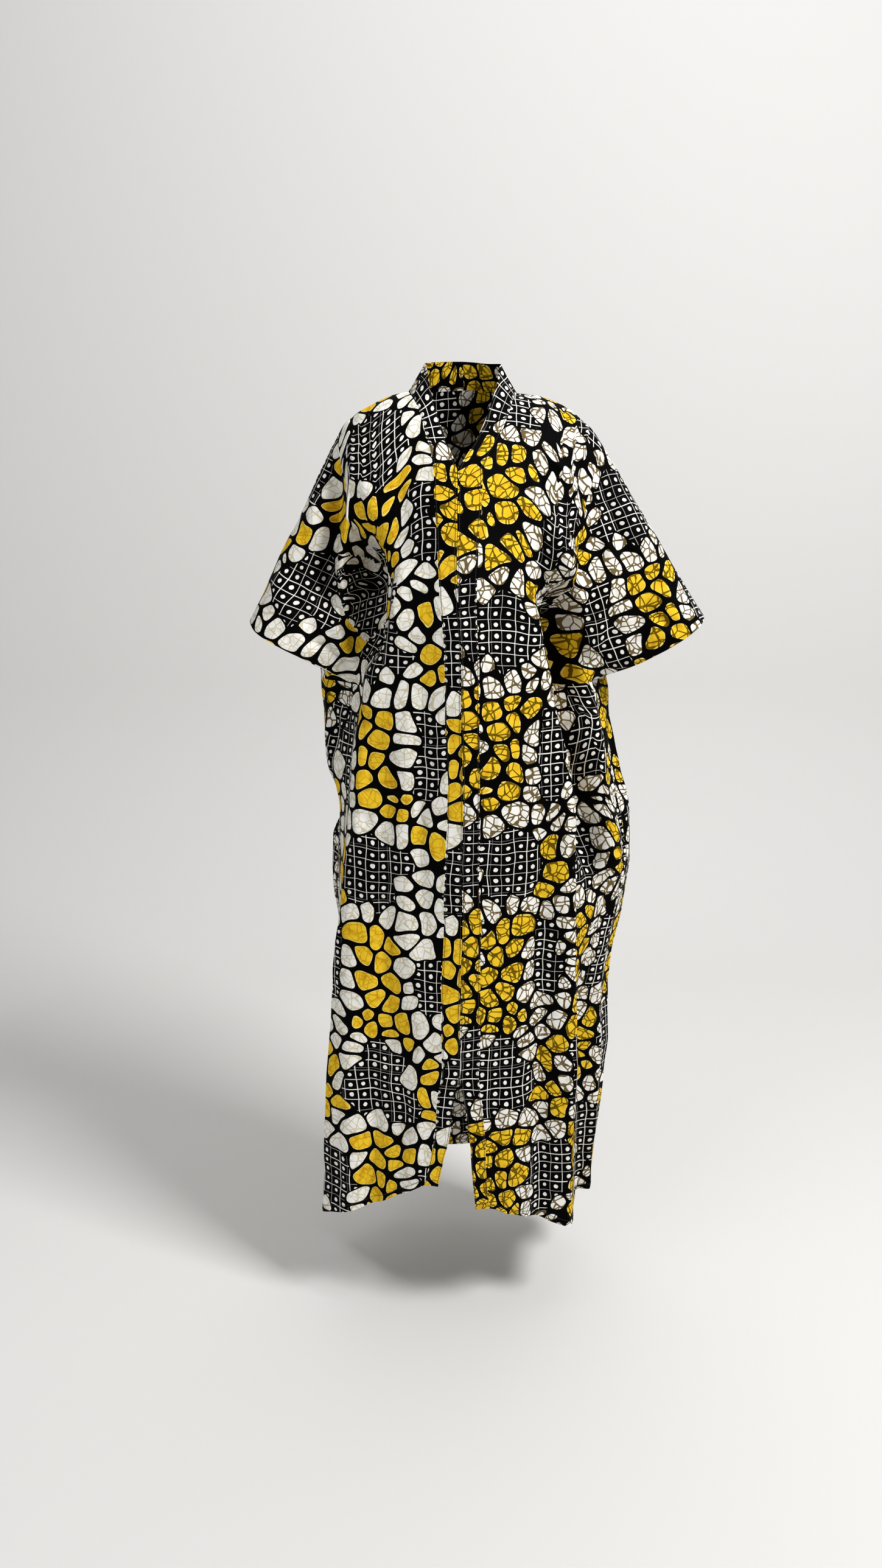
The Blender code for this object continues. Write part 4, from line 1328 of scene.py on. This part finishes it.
def add_object(name: str, data: bpy.types.ID) -> bpy.types.Object:
    """Puts a mesh, a light or a camera in the scene.

    Args:
        name: the object's name.
        data: what it shows.

    Returns:
        The object.
    """
    made = bpy.data.objects.new(name, data)
    bpy.context.scene.collection.objects.link(made)
    return made


@dataclass
class ClothPiece:
    """One cut piece of the robe as a closed thin shell."""

    name: str
    material: bpy.types.Material
    thickness: float = 0.0008
    sharp_angle: float = 65

    def build(self, grid: ClothGrid) -> bpy.types.Object:
        """Makes the shell.

        Args:
            grid: the piece's grid.

        Returns:
            Its object.
        """
        rows, columns = grid.points.shape[:2]
        count = rows * columns
        outer = grid.points.reshape(-1, 3)
        inner = outer - self.thickness * grid.normals.reshape(-1, 3)
        index = np.arange(count).reshape(rows, columns)
        face = np.stack([index[:-1, :-1], index[:-1, 1:], index[1:, 1:], index[1:, :-1]], -1)
        face = face.reshape(-1, 4)
        if grid.facing > 0:
            face = face[:, ::-1]
        rim = np.concatenate([index[0, :-1], index[:-1, -1], index[-1, :0:-1], index[:0:-1, 0]])
        after = np.roll(rim, -1)
        edge = np.stack([rim, rim + count, after + count, after], -1)
        if grid.facing > 0:
            edge = edge[:, ::-1]
        faces = np.concatenate([face, face[:, ::-1] + count, edge])
        mesh = bpy.data.meshes.new(self.name)
        mesh.from_pydata(np.concatenate([outer, inner]).tolist(), [], faces.tolist())
        self.lay_out(mesh, grid, faces, len(face))
        mesh.materials.append(self.material)
        mesh.shade_smooth()
        mesh.set_sharp_from_angle(angle=np.radians(self.sharp_angle))
        return add_object(self.name, mesh)

    def lay_out(
        self, mesh: bpy.types.Mesh, grid: ClothGrid, faces: np.ndarray, outside: int
    ) -> None:
        """Writes the cut map and the crackle on the shell.

        Args:
            mesh: the shell.
            grid: the piece's grid.
            faces: its faces, first the outside, then the inside and the rim.
            outside: how many faces the outside has.
        """
        count = grid.points.shape[0] * grid.points.shape[1]
        part = np.zeros(len(faces), int)
        part[:outside] = grid.part.reshape(-1)
        part[outside : 2 * outside] = grid.part.reshape(-1)
        cuts = np.stack([cut.reshape(-1, 2) for cut in grid.cuts])
        chosen = cuts[part[:, None], faces % count]
        layer = mesh.uv_layers.new(name=CUT_MAP)
        layer.data.foreach_set("uv", chosen.reshape(-1).astype(np.float32))
        crackle = mesh.attributes.new(CRACKLE, "FLOAT", "POINT")
        values = np.tile(grid.crackle.reshape(-1), 2)
        crackle.data.foreach_set("value", values.astype(np.float32))


def spread(ends: tuple[float, ...], counts: tuple[int, ...]) -> np.ndarray:
    """Places from the first end to the last.

    Args:
        ends: the first, those between and the last.
        counts: how many steps there are from each to the next.

    Returns:
        The places.
    """
    parts = [np.linspace(a, b, n + 1)[:-1] for a, b, n in zip(ends, ends[1:], counts)]
    return np.concatenate([*parts, [ends[-1]]])


def travelled(steps: np.ndarray, axis: int) -> np.ndarray:
    """The running total of the steps between neighbours, starting from 0.

    Args:
        steps: the steps.
        axis: the axis to go along.

    Returns:
        The totals, one more along that axis than the steps.
    """
    shape = list(steps.shape)
    shape[axis] = 1
    return np.concatenate([np.zeros(shape), np.cumsum(steps, axis)], axis)


def middles(across: np.ndarray, down: np.ndarray) -> list[np.ndarray]:
    """The station and the level of the middle of each face, between those columns and rows."""
    return np.meshgrid((across[1:] + across[:-1]) / 2, (down[1:] + down[:-1]) / 2)


@dataclass
class CutLayout:
    """Where a worn grid lies on its flat cut: down the cloth is along the columns, and across it is
    level. A sleeve is cut in one with the body, so its own cloth runs square to its top line.
    """

    side: Side
    underarm_row: int
    sleeve_column: int

    def body(self, points: np.ndarray) -> np.ndarray:
        """The cut of the body.

        Args:
            points: the grid, its first column nearest to the middle.

        Returns:
            Places on the cut, measured from the middle and from the shoulder's height.
        """
        step = np.diff(points, axis=1)
        start = np.abs(points[:, :1, 0])
        across = start + travelled(np.hypot(step[..., 0], step[..., 1]), 1)
        step = np.diff(points, axis=0)
        down = travelled(np.hypot(step[..., 2], step[..., 1]), 0)
        at_underarm = down[self.underarm_row][None]
        down = points[self.underarm_row, 0, 2] - (down - at_underarm)
        return np.stack([across, down], -1)

    def sleeve(self, points: np.ndarray, body: np.ndarray) -> np.ndarray:
        """The cut of the sleeve, carried on from the body at the top line.

        Args:
            points: the grid.
            body: the cut of the body.

        Returns:
            Places on the cut.
        """
        start, end = points[0, self.sleeve_column], points[0, -1]
        out = (end - start)[[0, 2]]
        out = out / np.linalg.norm(out)
        square = np.array([out[1] * self.side.value, -out[0] * self.side.value])
        flat = (points - start)[..., [0, 2]]
        across = body[0, self.sleeve_column, 0] + flat @ out
        step = np.diff(points, axis=0)
        fall = np.hypot(step[..., [0, 2]] @ square, step[..., 1])
        down = body[0, self.sleeve_column, 1] - travelled(fall, 0)
        return np.stack([across, down], -1)


@dataclass(frozen=True)
class Lay:
    """How the print lies on a piece: the place on the cut where a large patch is, and its turn."""

    across: float
    down: float
    turn: float = 0.0

    def placed(self, cut: np.ndarray) -> np.ndarray:
        """The cut in the print's own frame.

        Args:
            cut: places on the cut.

        Returns:
            The same places in the print.
        """
        turn = np.radians(self.turn)
        turned = np.array([[np.cos(turn), np.sin(turn)], [-np.sin(turn), np.cos(turn)]])
        return (cut - (self.across, self.down)) @ turned


# Cloth tucked in under the folds around it, so its print doesn't run on from theirs: where it shows,
# and how the print lies there.
TUCKED = {
    Side.RIGHT: (
        Rows(
            "z inner outer",
            (-0.362, 0.146, 0.152),
            (-0.330, 0.112, 0.174),
            (-0.300, 0.104, 0.184),
            (-0.262, 0.100, 0.190),
            (-0.246, 0.128, 0.189),
            (-0.230, 0.168, 0.186),
        ),
        Lay(0.252, -0.288, 12),
    ),
}


@dataclass(frozen=True)
class Stitching:
    """A line of lockstitch in dark thread: short raised stitches with a small gap between them."""

    first: float = 0.002
    pitch: float = 0.0032
    length: float = 0.0025
    width: float = 0.0006
    height: float = 0.0004

    def along(self, line: np.ndarray, normals: np.ndarray) -> tuple[np.ndarray, np.ndarray]:
        """Stitches along a line on the cloth.

        Args:
            line: the points of the line.
            normals: the cloth's outside at each one.

        Returns:
            Corners and faces of the stitches.
        """
        step = np.linalg.norm(np.diff(line, axis=0), axis=-1)
        at = travelled(step, 0)
        starts = np.arange(self.first, at[-1] - self.length, self.pitch)
        ends = np.stack([starts, starts + self.length], -1)
        place = np.stack([np.interp(ends, at, line[:, axis]) for axis in range(3)], -1)
        up = np.stack([np.interp(starts, at, normals[:, axis]) for axis in range(3)], -1)
        run = place[:, 1] - place[:, 0]
        aside = np.cross(up, run)
        aside = aside / np.linalg.norm(aside, axis=-1, keepdims=True) * self.width / 2
        up = up / np.linalg.norm(up, axis=-1, keepdims=True) * self.height
        corners = []
        for end in (0, 1):
            for raised in (0, 1):
                for way in (-1, 1):
                    corners.append(place[:, end] + raised * up + way * aside)
        corners = np.stack(corners, 1).reshape(-1, 3)
        box = np.array(
            [(0, 1, 5, 4), (2, 6, 7, 3), (0, 4, 6, 2), (1, 3, 7, 5), (0, 2, 3, 1), (4, 5, 7, 6)]
        )
        faces = (np.arange(len(starts))[:, None, None] * 8 + box).reshape(-1, 4)
        return corners, faces

    def build(
        self, name: str, lines: list[tuple[np.ndarray, np.ndarray]], thread: bpy.types.Material
    ) -> bpy.types.Object:
        """Makes the stitches of one piece of cloth.

        Args:
            name: the object's name.
            lines: points and normals of each line.
            thread: the material.

        Returns:
            The object.
        """
        corners, faces, count = [], [], 0
        for line, normals in lines:
            some, sides = self.along(line, normals)
            corners.append(some)
            faces.append(sides + count)
            count += len(some)
        mesh = bpy.data.meshes.new(name)
        mesh.from_pydata(np.concatenate(corners).tolist(), [], np.concatenate(faces).tolist())
        mesh.materials.append(thread)
        return add_object(name, mesh)


@dataclass
class Robe:
    """The five pieces of the robe.

    Columns are counted from station to station, outwards. A lay is where the print lies on a piece.
    A gather is how much cloth the folds beside the chest take up, and the heights on the cut between
    which they do so; gather_across is where on the cut they start and end.
    """

    form: RobeForm = field(default_factory=RobeForm)
    creasing: Creasing = field(default_factory=Creasing)
    stitching: Stitching = field(default_factory=Stitching)
    front_columns: tuple[int, ...] = (44, 40, 70)
    upper_rows: int = 130
    lower_rows: int = 160
    back_columns: tuple[int, ...] = (8, 16, 22, 38)
    back_upper_rows: int = 100
    back_lower_rows: int = 160
    band_columns: int = 12
    hem_rows: int = 10
    hem_depth: float = 0.018
    skirt_length: float = 0.9
    top_power: float = 1.15
    sleeve_end_level: float = 0.96
    far_from_hem: float = 1.0
    hem_stitch: float = 0.0105
    band_stitch: int = 1
    band_stitch_ends: int = 2
    collar_crackle: tuple[float, float] = (-0.25, -0.20)
    front_lay: dict = field(
        default_factory=lambda: {
            Side.RIGHT: Lay(0.1375, -0.355),
            Side.LEFT: Lay(0.058, -0.335),
        }
    )
    sleeve_lay: dict = field(
        default_factory=lambda: {
            Side.RIGHT: Lay(0.4085, -0.0760, -90),
            Side.LEFT: Lay(0.3010, -0.0660, -77),
        }
    )
    back_lay: Lay = Lay(-0.24, -0.70)
    band_lay: dict = field(
        default_factory=lambda: {Side.RIGHT: Lay(-0.030, -0.543), Side.LEFT: Lay(-0.010, -0.500)}
    )
    gather: dict = field(
        default_factory=lambda: {
            Side.RIGHT: (0.070, -0.340, -0.150),
            Side.LEFT: (0.022, -0.420, -0.260),
        }
    )
    gather_across: tuple[float, float] = (0.050, 0.150)

    def levels(self, upper: int, lower: int) -> np.ndarray:
        """The levels of the rows, closer together at the hem.

        Args:
            upper, lower: how many steps there are above and below the underarm.

        Returns:
            The levels, with the underarm's row at index upper.
        """
        hem = 2 - self.hem_depth / self.skirt_length
        top = np.linspace(0, 1, upper + 1) ** self.top_power
        return np.concatenate([top[:-1], spread((1, hem, 2), (lower, self.hem_rows))])

    def gathered(self, side: Side, cut: np.ndarray) -> np.ndarray:
        """The cut with the cloth that the folds beside the chest take up.

        Args:
            side: which half.
            cut: places on its cut.

        Returns:
            The moved places.
        """
        amount, low, high = self.gather[side]
        outward = smooth_step(cut[..., 0], *self.gather_across)
        moved = cut.copy()
        moved[..., 1] += amount * outward * smooth_step(cut[..., 1], low, high)
        return moved

    def from_hems(self, points: np.ndarray, level: np.ndarray) -> np.ndarray:
        """How far each point lies from the hem below it or the sleeve hem beside it.

        Args:
            points: the grid, its last column at the side seam.
            level: the level of each point.

        Returns:
            The distance along the cloth.
        """
        down = np.linalg.norm(np.diff(points, axis=0), axis=-1)[::-1]
        to_bottom = travelled(down, 0)[::-1]
        out = np.linalg.norm(np.diff(points, axis=1), axis=-1)[:, ::-1]
        to_side = travelled(out, 1)[:, ::-1]
        in_sleeve = level < self.sleeve_end_level
        return np.minimum(to_bottom, np.where(in_sleeve, to_side, self.far_from_hem))

    def quarter(
        self, side: Side, face: Face, across: np.ndarray, down: np.ndarray, sleeve: int
    ) -> tuple[np.ndarray, np.ndarray, np.ndarray, np.ndarray]:
        """One quarter of the robe, creased but not yet crumpled.

        Args:
            side, face: which quarter.
            across, down: the stations of its columns and the levels of its rows.
            sleeve: the column where the sleeve starts.

        Returns:
            Its points, its cut as body, its cut as sleeve and its distances from a hem.
        """
        station, level = np.meshgrid(across, down)
        bare, out = self.form.bare(side, face, station, level)
        folded = bare + out * self.form.folds(side, face, bare, station, level)
        underarm = int(np.argmin(np.abs(down - 1)))
        layout = CutLayout(side, underarm, sleeve)
        points = folded + out * self.creasing.creases(side, face, folded, station, level)
        body = layout.body(points)
        on_sleeve = layout.sleeve(folded, body)
        return points, body, on_sleeve, self.from_hems(folded, level)

    def front(self, side: Side) -> ClothGrid:
        """The grid of one front.

        Args:
            side: which front.

        Returns:
            The grid.
        """
        across = spread((0, 1, 2, 3), self.front_columns)
        down = self.levels(self.upper_rows, self.lower_rows)
        sleeve = sum(self.front_columns[:2])
        points, body, on_sleeve, to_hem = self.quarter(side, Face.FRONT, across, down, sleeve)
        points = self.creasing.finished(points, side.value, to_hem)
        station, level = middles(across, down)
        part = np.where((station > 2) & (level < 1), Part.SLEEVE, Part.MAIN)
        cuts = [
            self.front_lay[side].placed(self.gathered(side, body)),
            self.sleeve_lay[side].placed(on_sleeve),
        ]
        if side in TUCKED:
            place, lay = TUCKED[side]
            cuts.append(lay.placed(body))
            part[self.inside(place, side, points[:-1, :-1])] = Part.TUCKED_IN
        strong = 0.0 if side is Side.RIGHT else 1.0
        crackle = np.full(points.shape[:2], strong)
        return ClothGrid(points, cuts, part, crackle, side.value, to_hem)

    def inside(self, place: Rows, side: Side, points: np.ndarray) -> np.ndarray:
        """Which points lie between the inner and the outer line of a place.

        Args:
            place: its lines, by height.
            side: which half.
            points: the points.

        Returns:
            True for those inside.
        """
        out, z = side.value * points[..., 0], points[..., 2]
        within = (z > place["z"].min()) & (z < place["z"].max())
        return within & (out > place.read("inner", z)) & (out < place.read("outer", z))

    def back(self) -> ClothGrid:
        """The grid of the back, from side seam to side seam.

        Returns:
            The grid.
        """
        across = spread((0, *self.form.back_stations), self.back_columns)
        down = self.levels(self.back_upper_rows, self.back_lower_rows)
        sleeve = sum(self.back_columns[:3])
        halves = []
        for side in Side:
            points, body, on_sleeve, to_hem = self.quarter(side, Face.BACK, across, down, sleeve)
            mirror = np.array([side.value, 1])
            on_sleeve = self.sleeve_lay[side].placed(on_sleeve) * mirror
            halves.append((points, self.back_lay.placed(body * mirror), on_sleeve, to_hem))
        whole = [
            np.concatenate([right[:, ::-1], left[:, 1:]], 1) for right, left in zip(*halves)
        ]
        points, body, on_sleeve, to_hem = whole
        points = self.creasing.finished(points, -1, to_hem)
        station, level = middles(np.concatenate([-across[::-1], across[1:]]), down)
        part = np.where((np.abs(station) > 2) & (level < 1), Part.SLEEVE, Part.MAIN)
        return ClothGrid(points, [body, on_sleeve], part, np.ones(points.shape[:2]), -1, to_hem)

    def band(self, side: Side) -> ClothGrid:
        """The grid of one band: half of the collar, then down the front to the hem.

        Args:
            side: which half's band.

        Returns:
            The grid.
        """
        turn = np.linspace(0, 1, 2 * self.back_columns[0] + 1)[:-1]
        down = self.levels(self.upper_rows, self.lower_rows)
        form = self.form
        seam = np.concatenate([form.neck_point(side, turn), form.band_point(side, down)])
        edge = np.concatenate(
            [form.collar_top_point(side, turn), form.band_point(side, down, "edge_")]
        )
        part = np.linspace(0, 1, self.band_columns + 1)[None, :, None]
        points = seam[:, None] * (1 - part) + edge[:, None] * part
        across = travelled(np.linalg.norm(np.diff(points, axis=1), axis=-1), 1)
        fall = travelled(np.linalg.norm(np.diff(seam, axis=0), axis=-1), 0)[:, None]
        to_hem = fall[-1:] - fall + 0 * across
        cut = self.band_lay[side].placed(np.stack([-across, 0 * across - fall], -1))
        points = self.creasing.finished(points, -side.value, to_hem)
        crackle = np.ones(points.shape[:2])
        if side is Side.RIGHT:
            crackle = smooth_step(points[..., 2], *self.collar_crackle)
        part = np.zeros((points.shape[0] - 1, points.shape[1] - 1), int)
        return ClothGrid(points, [cut], part, crackle, -side.value, to_hem)

    def hem_lines(self, grid: ClothGrid) -> list[tuple[np.ndarray, np.ndarray]]:
        """The stitch line of the lower hem.

        Args:
            grid: a piece.

        Returns:
            Points and normals of each line.
        """
        row = int(np.argmin(np.abs(grid.to_hem[:, 1] - self.hem_stitch)))
        return [(grid.points[row, 1:-1], grid.normals[row, 1:-1])]

    def seam_lines(self, grid: ClothGrid) -> list[tuple[np.ndarray, np.ndarray]]:
        """The stitch lines along both edges of a band.

        Args:
            grid: the band.

        Returns:
            Points and normals of each line.
        """
        rows = slice(self.band_stitch_ends, -self.band_stitch_ends)
        columns = (self.band_stitch, -1 - self.band_stitch)
        return [(grid.points[rows, column], grid.normals[rows, column]) for column in columns]

    def build(self) -> None:
        """Makes the five pieces with their stitches."""
        cloth = WaxPrint().build()
        thread = COTTON_THREAD.build()
        for name, slot, grid, flat, area in (
            ("front_right", FAINT_SLOT, self.front(Side.RIGHT), (0.52, 1.38), 0.365),
            ("front_left", CRACKLED_SLOT, self.front(Side.LEFT), (0.60, 1.38), 0.44),
            ("back", CRACKLED_SLOT, self.back(), (1.08, 1.40), 0.85),
            ("band_right", CRACKLED_SLOT, self.band(Side.RIGHT), (0.05, 1.42), 0.0384),
            ("band_left", CRACKLED_SLOT, self.band(Side.LEFT), (0.05, 1.46), 0.0404),
        ):
            piece = ClothPiece(name + "_cloth", cloth).build(grid)
            lines = self.hem_lines(grid)
            if "band" in name:
                lines = lines + self.seam_lines(grid)
            stitches = self.stitching.build(name + "_stitches", lines, thread)
            for shown in (piece, stitches):
                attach(shown, BODY)
            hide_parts(name)
            log.info("%s: %d faces", piece.name, len(piece.data.polygons))


@dataclass(frozen=True)
class Studio:
    """A plain pale floor that sweeps up behind the robe, soft light and the camera.

    A lamp is a name, a place, the width of its square and its power in watts.
    """

    floor_z: float = -1.47
    floor_size: float = 16.0
    wall_y: float = 1.9
    wall_height: float = 5.0
    sweep: float = 0.7
    sweep_steps: int = 16
    tolerance: float = 0.01
    lamps: tuple[tuple[str, tuple[float, float, float], float, float], ...] = (
        ("key", (2.0, -1.5, 2.1), 1.0, 136),
        ("fill", (-2.4, -2.4, 0.6), 2.0, 26),
        ("top", (0.0, 0.3, 2.4), 2.6, 22),
    )
    lamp_aim: tuple[float, float, float] = (0.0, 0.0, -0.6)
    room: str = "#F2F3F5"
    room_strength: float = 0.20
    camera_height: float = -0.10
    camera_distance: float = 1.9
    camera_down: float = 14.8
    sensor: float = 36.0
    focal_px: float = 2000.0
    frame_height_px: float = 2576.0
    frame_middle_px: float = 724.5
    robe_middle_px: float = 761.0

    def build_floor(self) -> None:
        """Makes the floor and the sweep behind it."""
        bpy.ops.object.select_all(action="DESELECT")
        half = self.floor_size / 2
        bpy.ops.mesh.primitive_plane_add(
            size=self.floor_size, location=(0, self.wall_y - half, self.floor_z)
        )
        floor = bpy.context.object
        floor.name = "studio_floor"
        bpy.ops.object.mode_set(mode="EDIT")
        bpy.ops.mesh.select_all(action="DESELECT")
        bpy.ops.object.mode_set(mode="OBJECT")
        for edge in floor.data.edges:
            ends = [floor.data.vertices[i].co.y for i in edge.vertices]
            edge.select = min(ends) > half - self.tolerance
        bpy.ops.object.mode_set(mode="EDIT")
        bpy.ops.mesh.select_mode(type="EDGE")
        bpy.ops.mesh.extrude_region_move(
            TRANSFORM_OT_translate={"value": (0, 0, self.wall_height)}
        )
        bpy.ops.object.mode_set(mode="OBJECT")
        for edge in floor.data.edges:
            ends = [floor.data.vertices[i].co for i in edge.vertices]
            edge.select = all(
                end.y > half - self.tolerance and end.z < self.tolerance for end in ends
            )
        bpy.ops.object.mode_set(mode="EDIT")
        bpy.ops.mesh.bevel(offset=self.sweep, segments=self.sweep_steps)
        bpy.ops.object.mode_set(mode="OBJECT")
        bpy.ops.object.shade_smooth()
        bpy.ops.object.transform_apply(location=True, rotation=True, scale=True)
        floor.data.materials.append(MATT_PAINT.build())

    def build_light(self) -> None:
        """Hangs the lamps and lights the room evenly."""
        for name, place, size, power in self.lamps:
            light = bpy.data.lights.new(name, "AREA")
            light.energy = power
            light.size = size
            lamp = add_object(name, light)
            lamp.location = place
            aim = Vector(self.lamp_aim) - Vector(place)
            lamp.rotation_euler = aim.to_track_quat("-Z", "Y").to_euler()
        world = bpy.data.worlds.new("room")
        world.use_nodes = True
        background = world.node_tree.nodes["Background"]
        background.inputs["Color"].default_value = linear(self.room)
        background.inputs["Strength"].default_value = self.room_strength
        bpy.context.scene.world = world
        bpy.context.scene.view_settings.view_transform = "Standard"

    def build_camera(self) -> None:
        """Sets up the camera."""
        camera = bpy.data.cameras.new("camera")
        camera.sensor_fit = "VERTICAL"
        camera.sensor_height = self.sensor
        camera.lens = self.focal_px / self.frame_height_px * self.sensor
        camera.shift_x = (self.frame_middle_px - self.robe_middle_px) / self.frame_height_px
        holder = add_object("camera", camera)
        holder.location = (0, -self.camera_distance, self.camera_height)
        holder.rotation_euler = (np.radians(90 - self.camera_down), 0, 0)
        bpy.context.scene.camera = holder


def corners(box: tuple[Vector, Vector]) -> list[list[float]]:
    """A box's two corners as plain lists."""
    return [[float(value) for value in corner] for corner in box]


def main() -> None:
    """Builds the robe and its studio."""
    logging.basicConfig(level=logging.INFO, format="%(name)s: %(message)s")
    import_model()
    studio = Studio()
    studio.build_camera()
    studio.build_floor()
    studio.build_light()
    Robe().build()


if __name__ == "__main__":
    main()
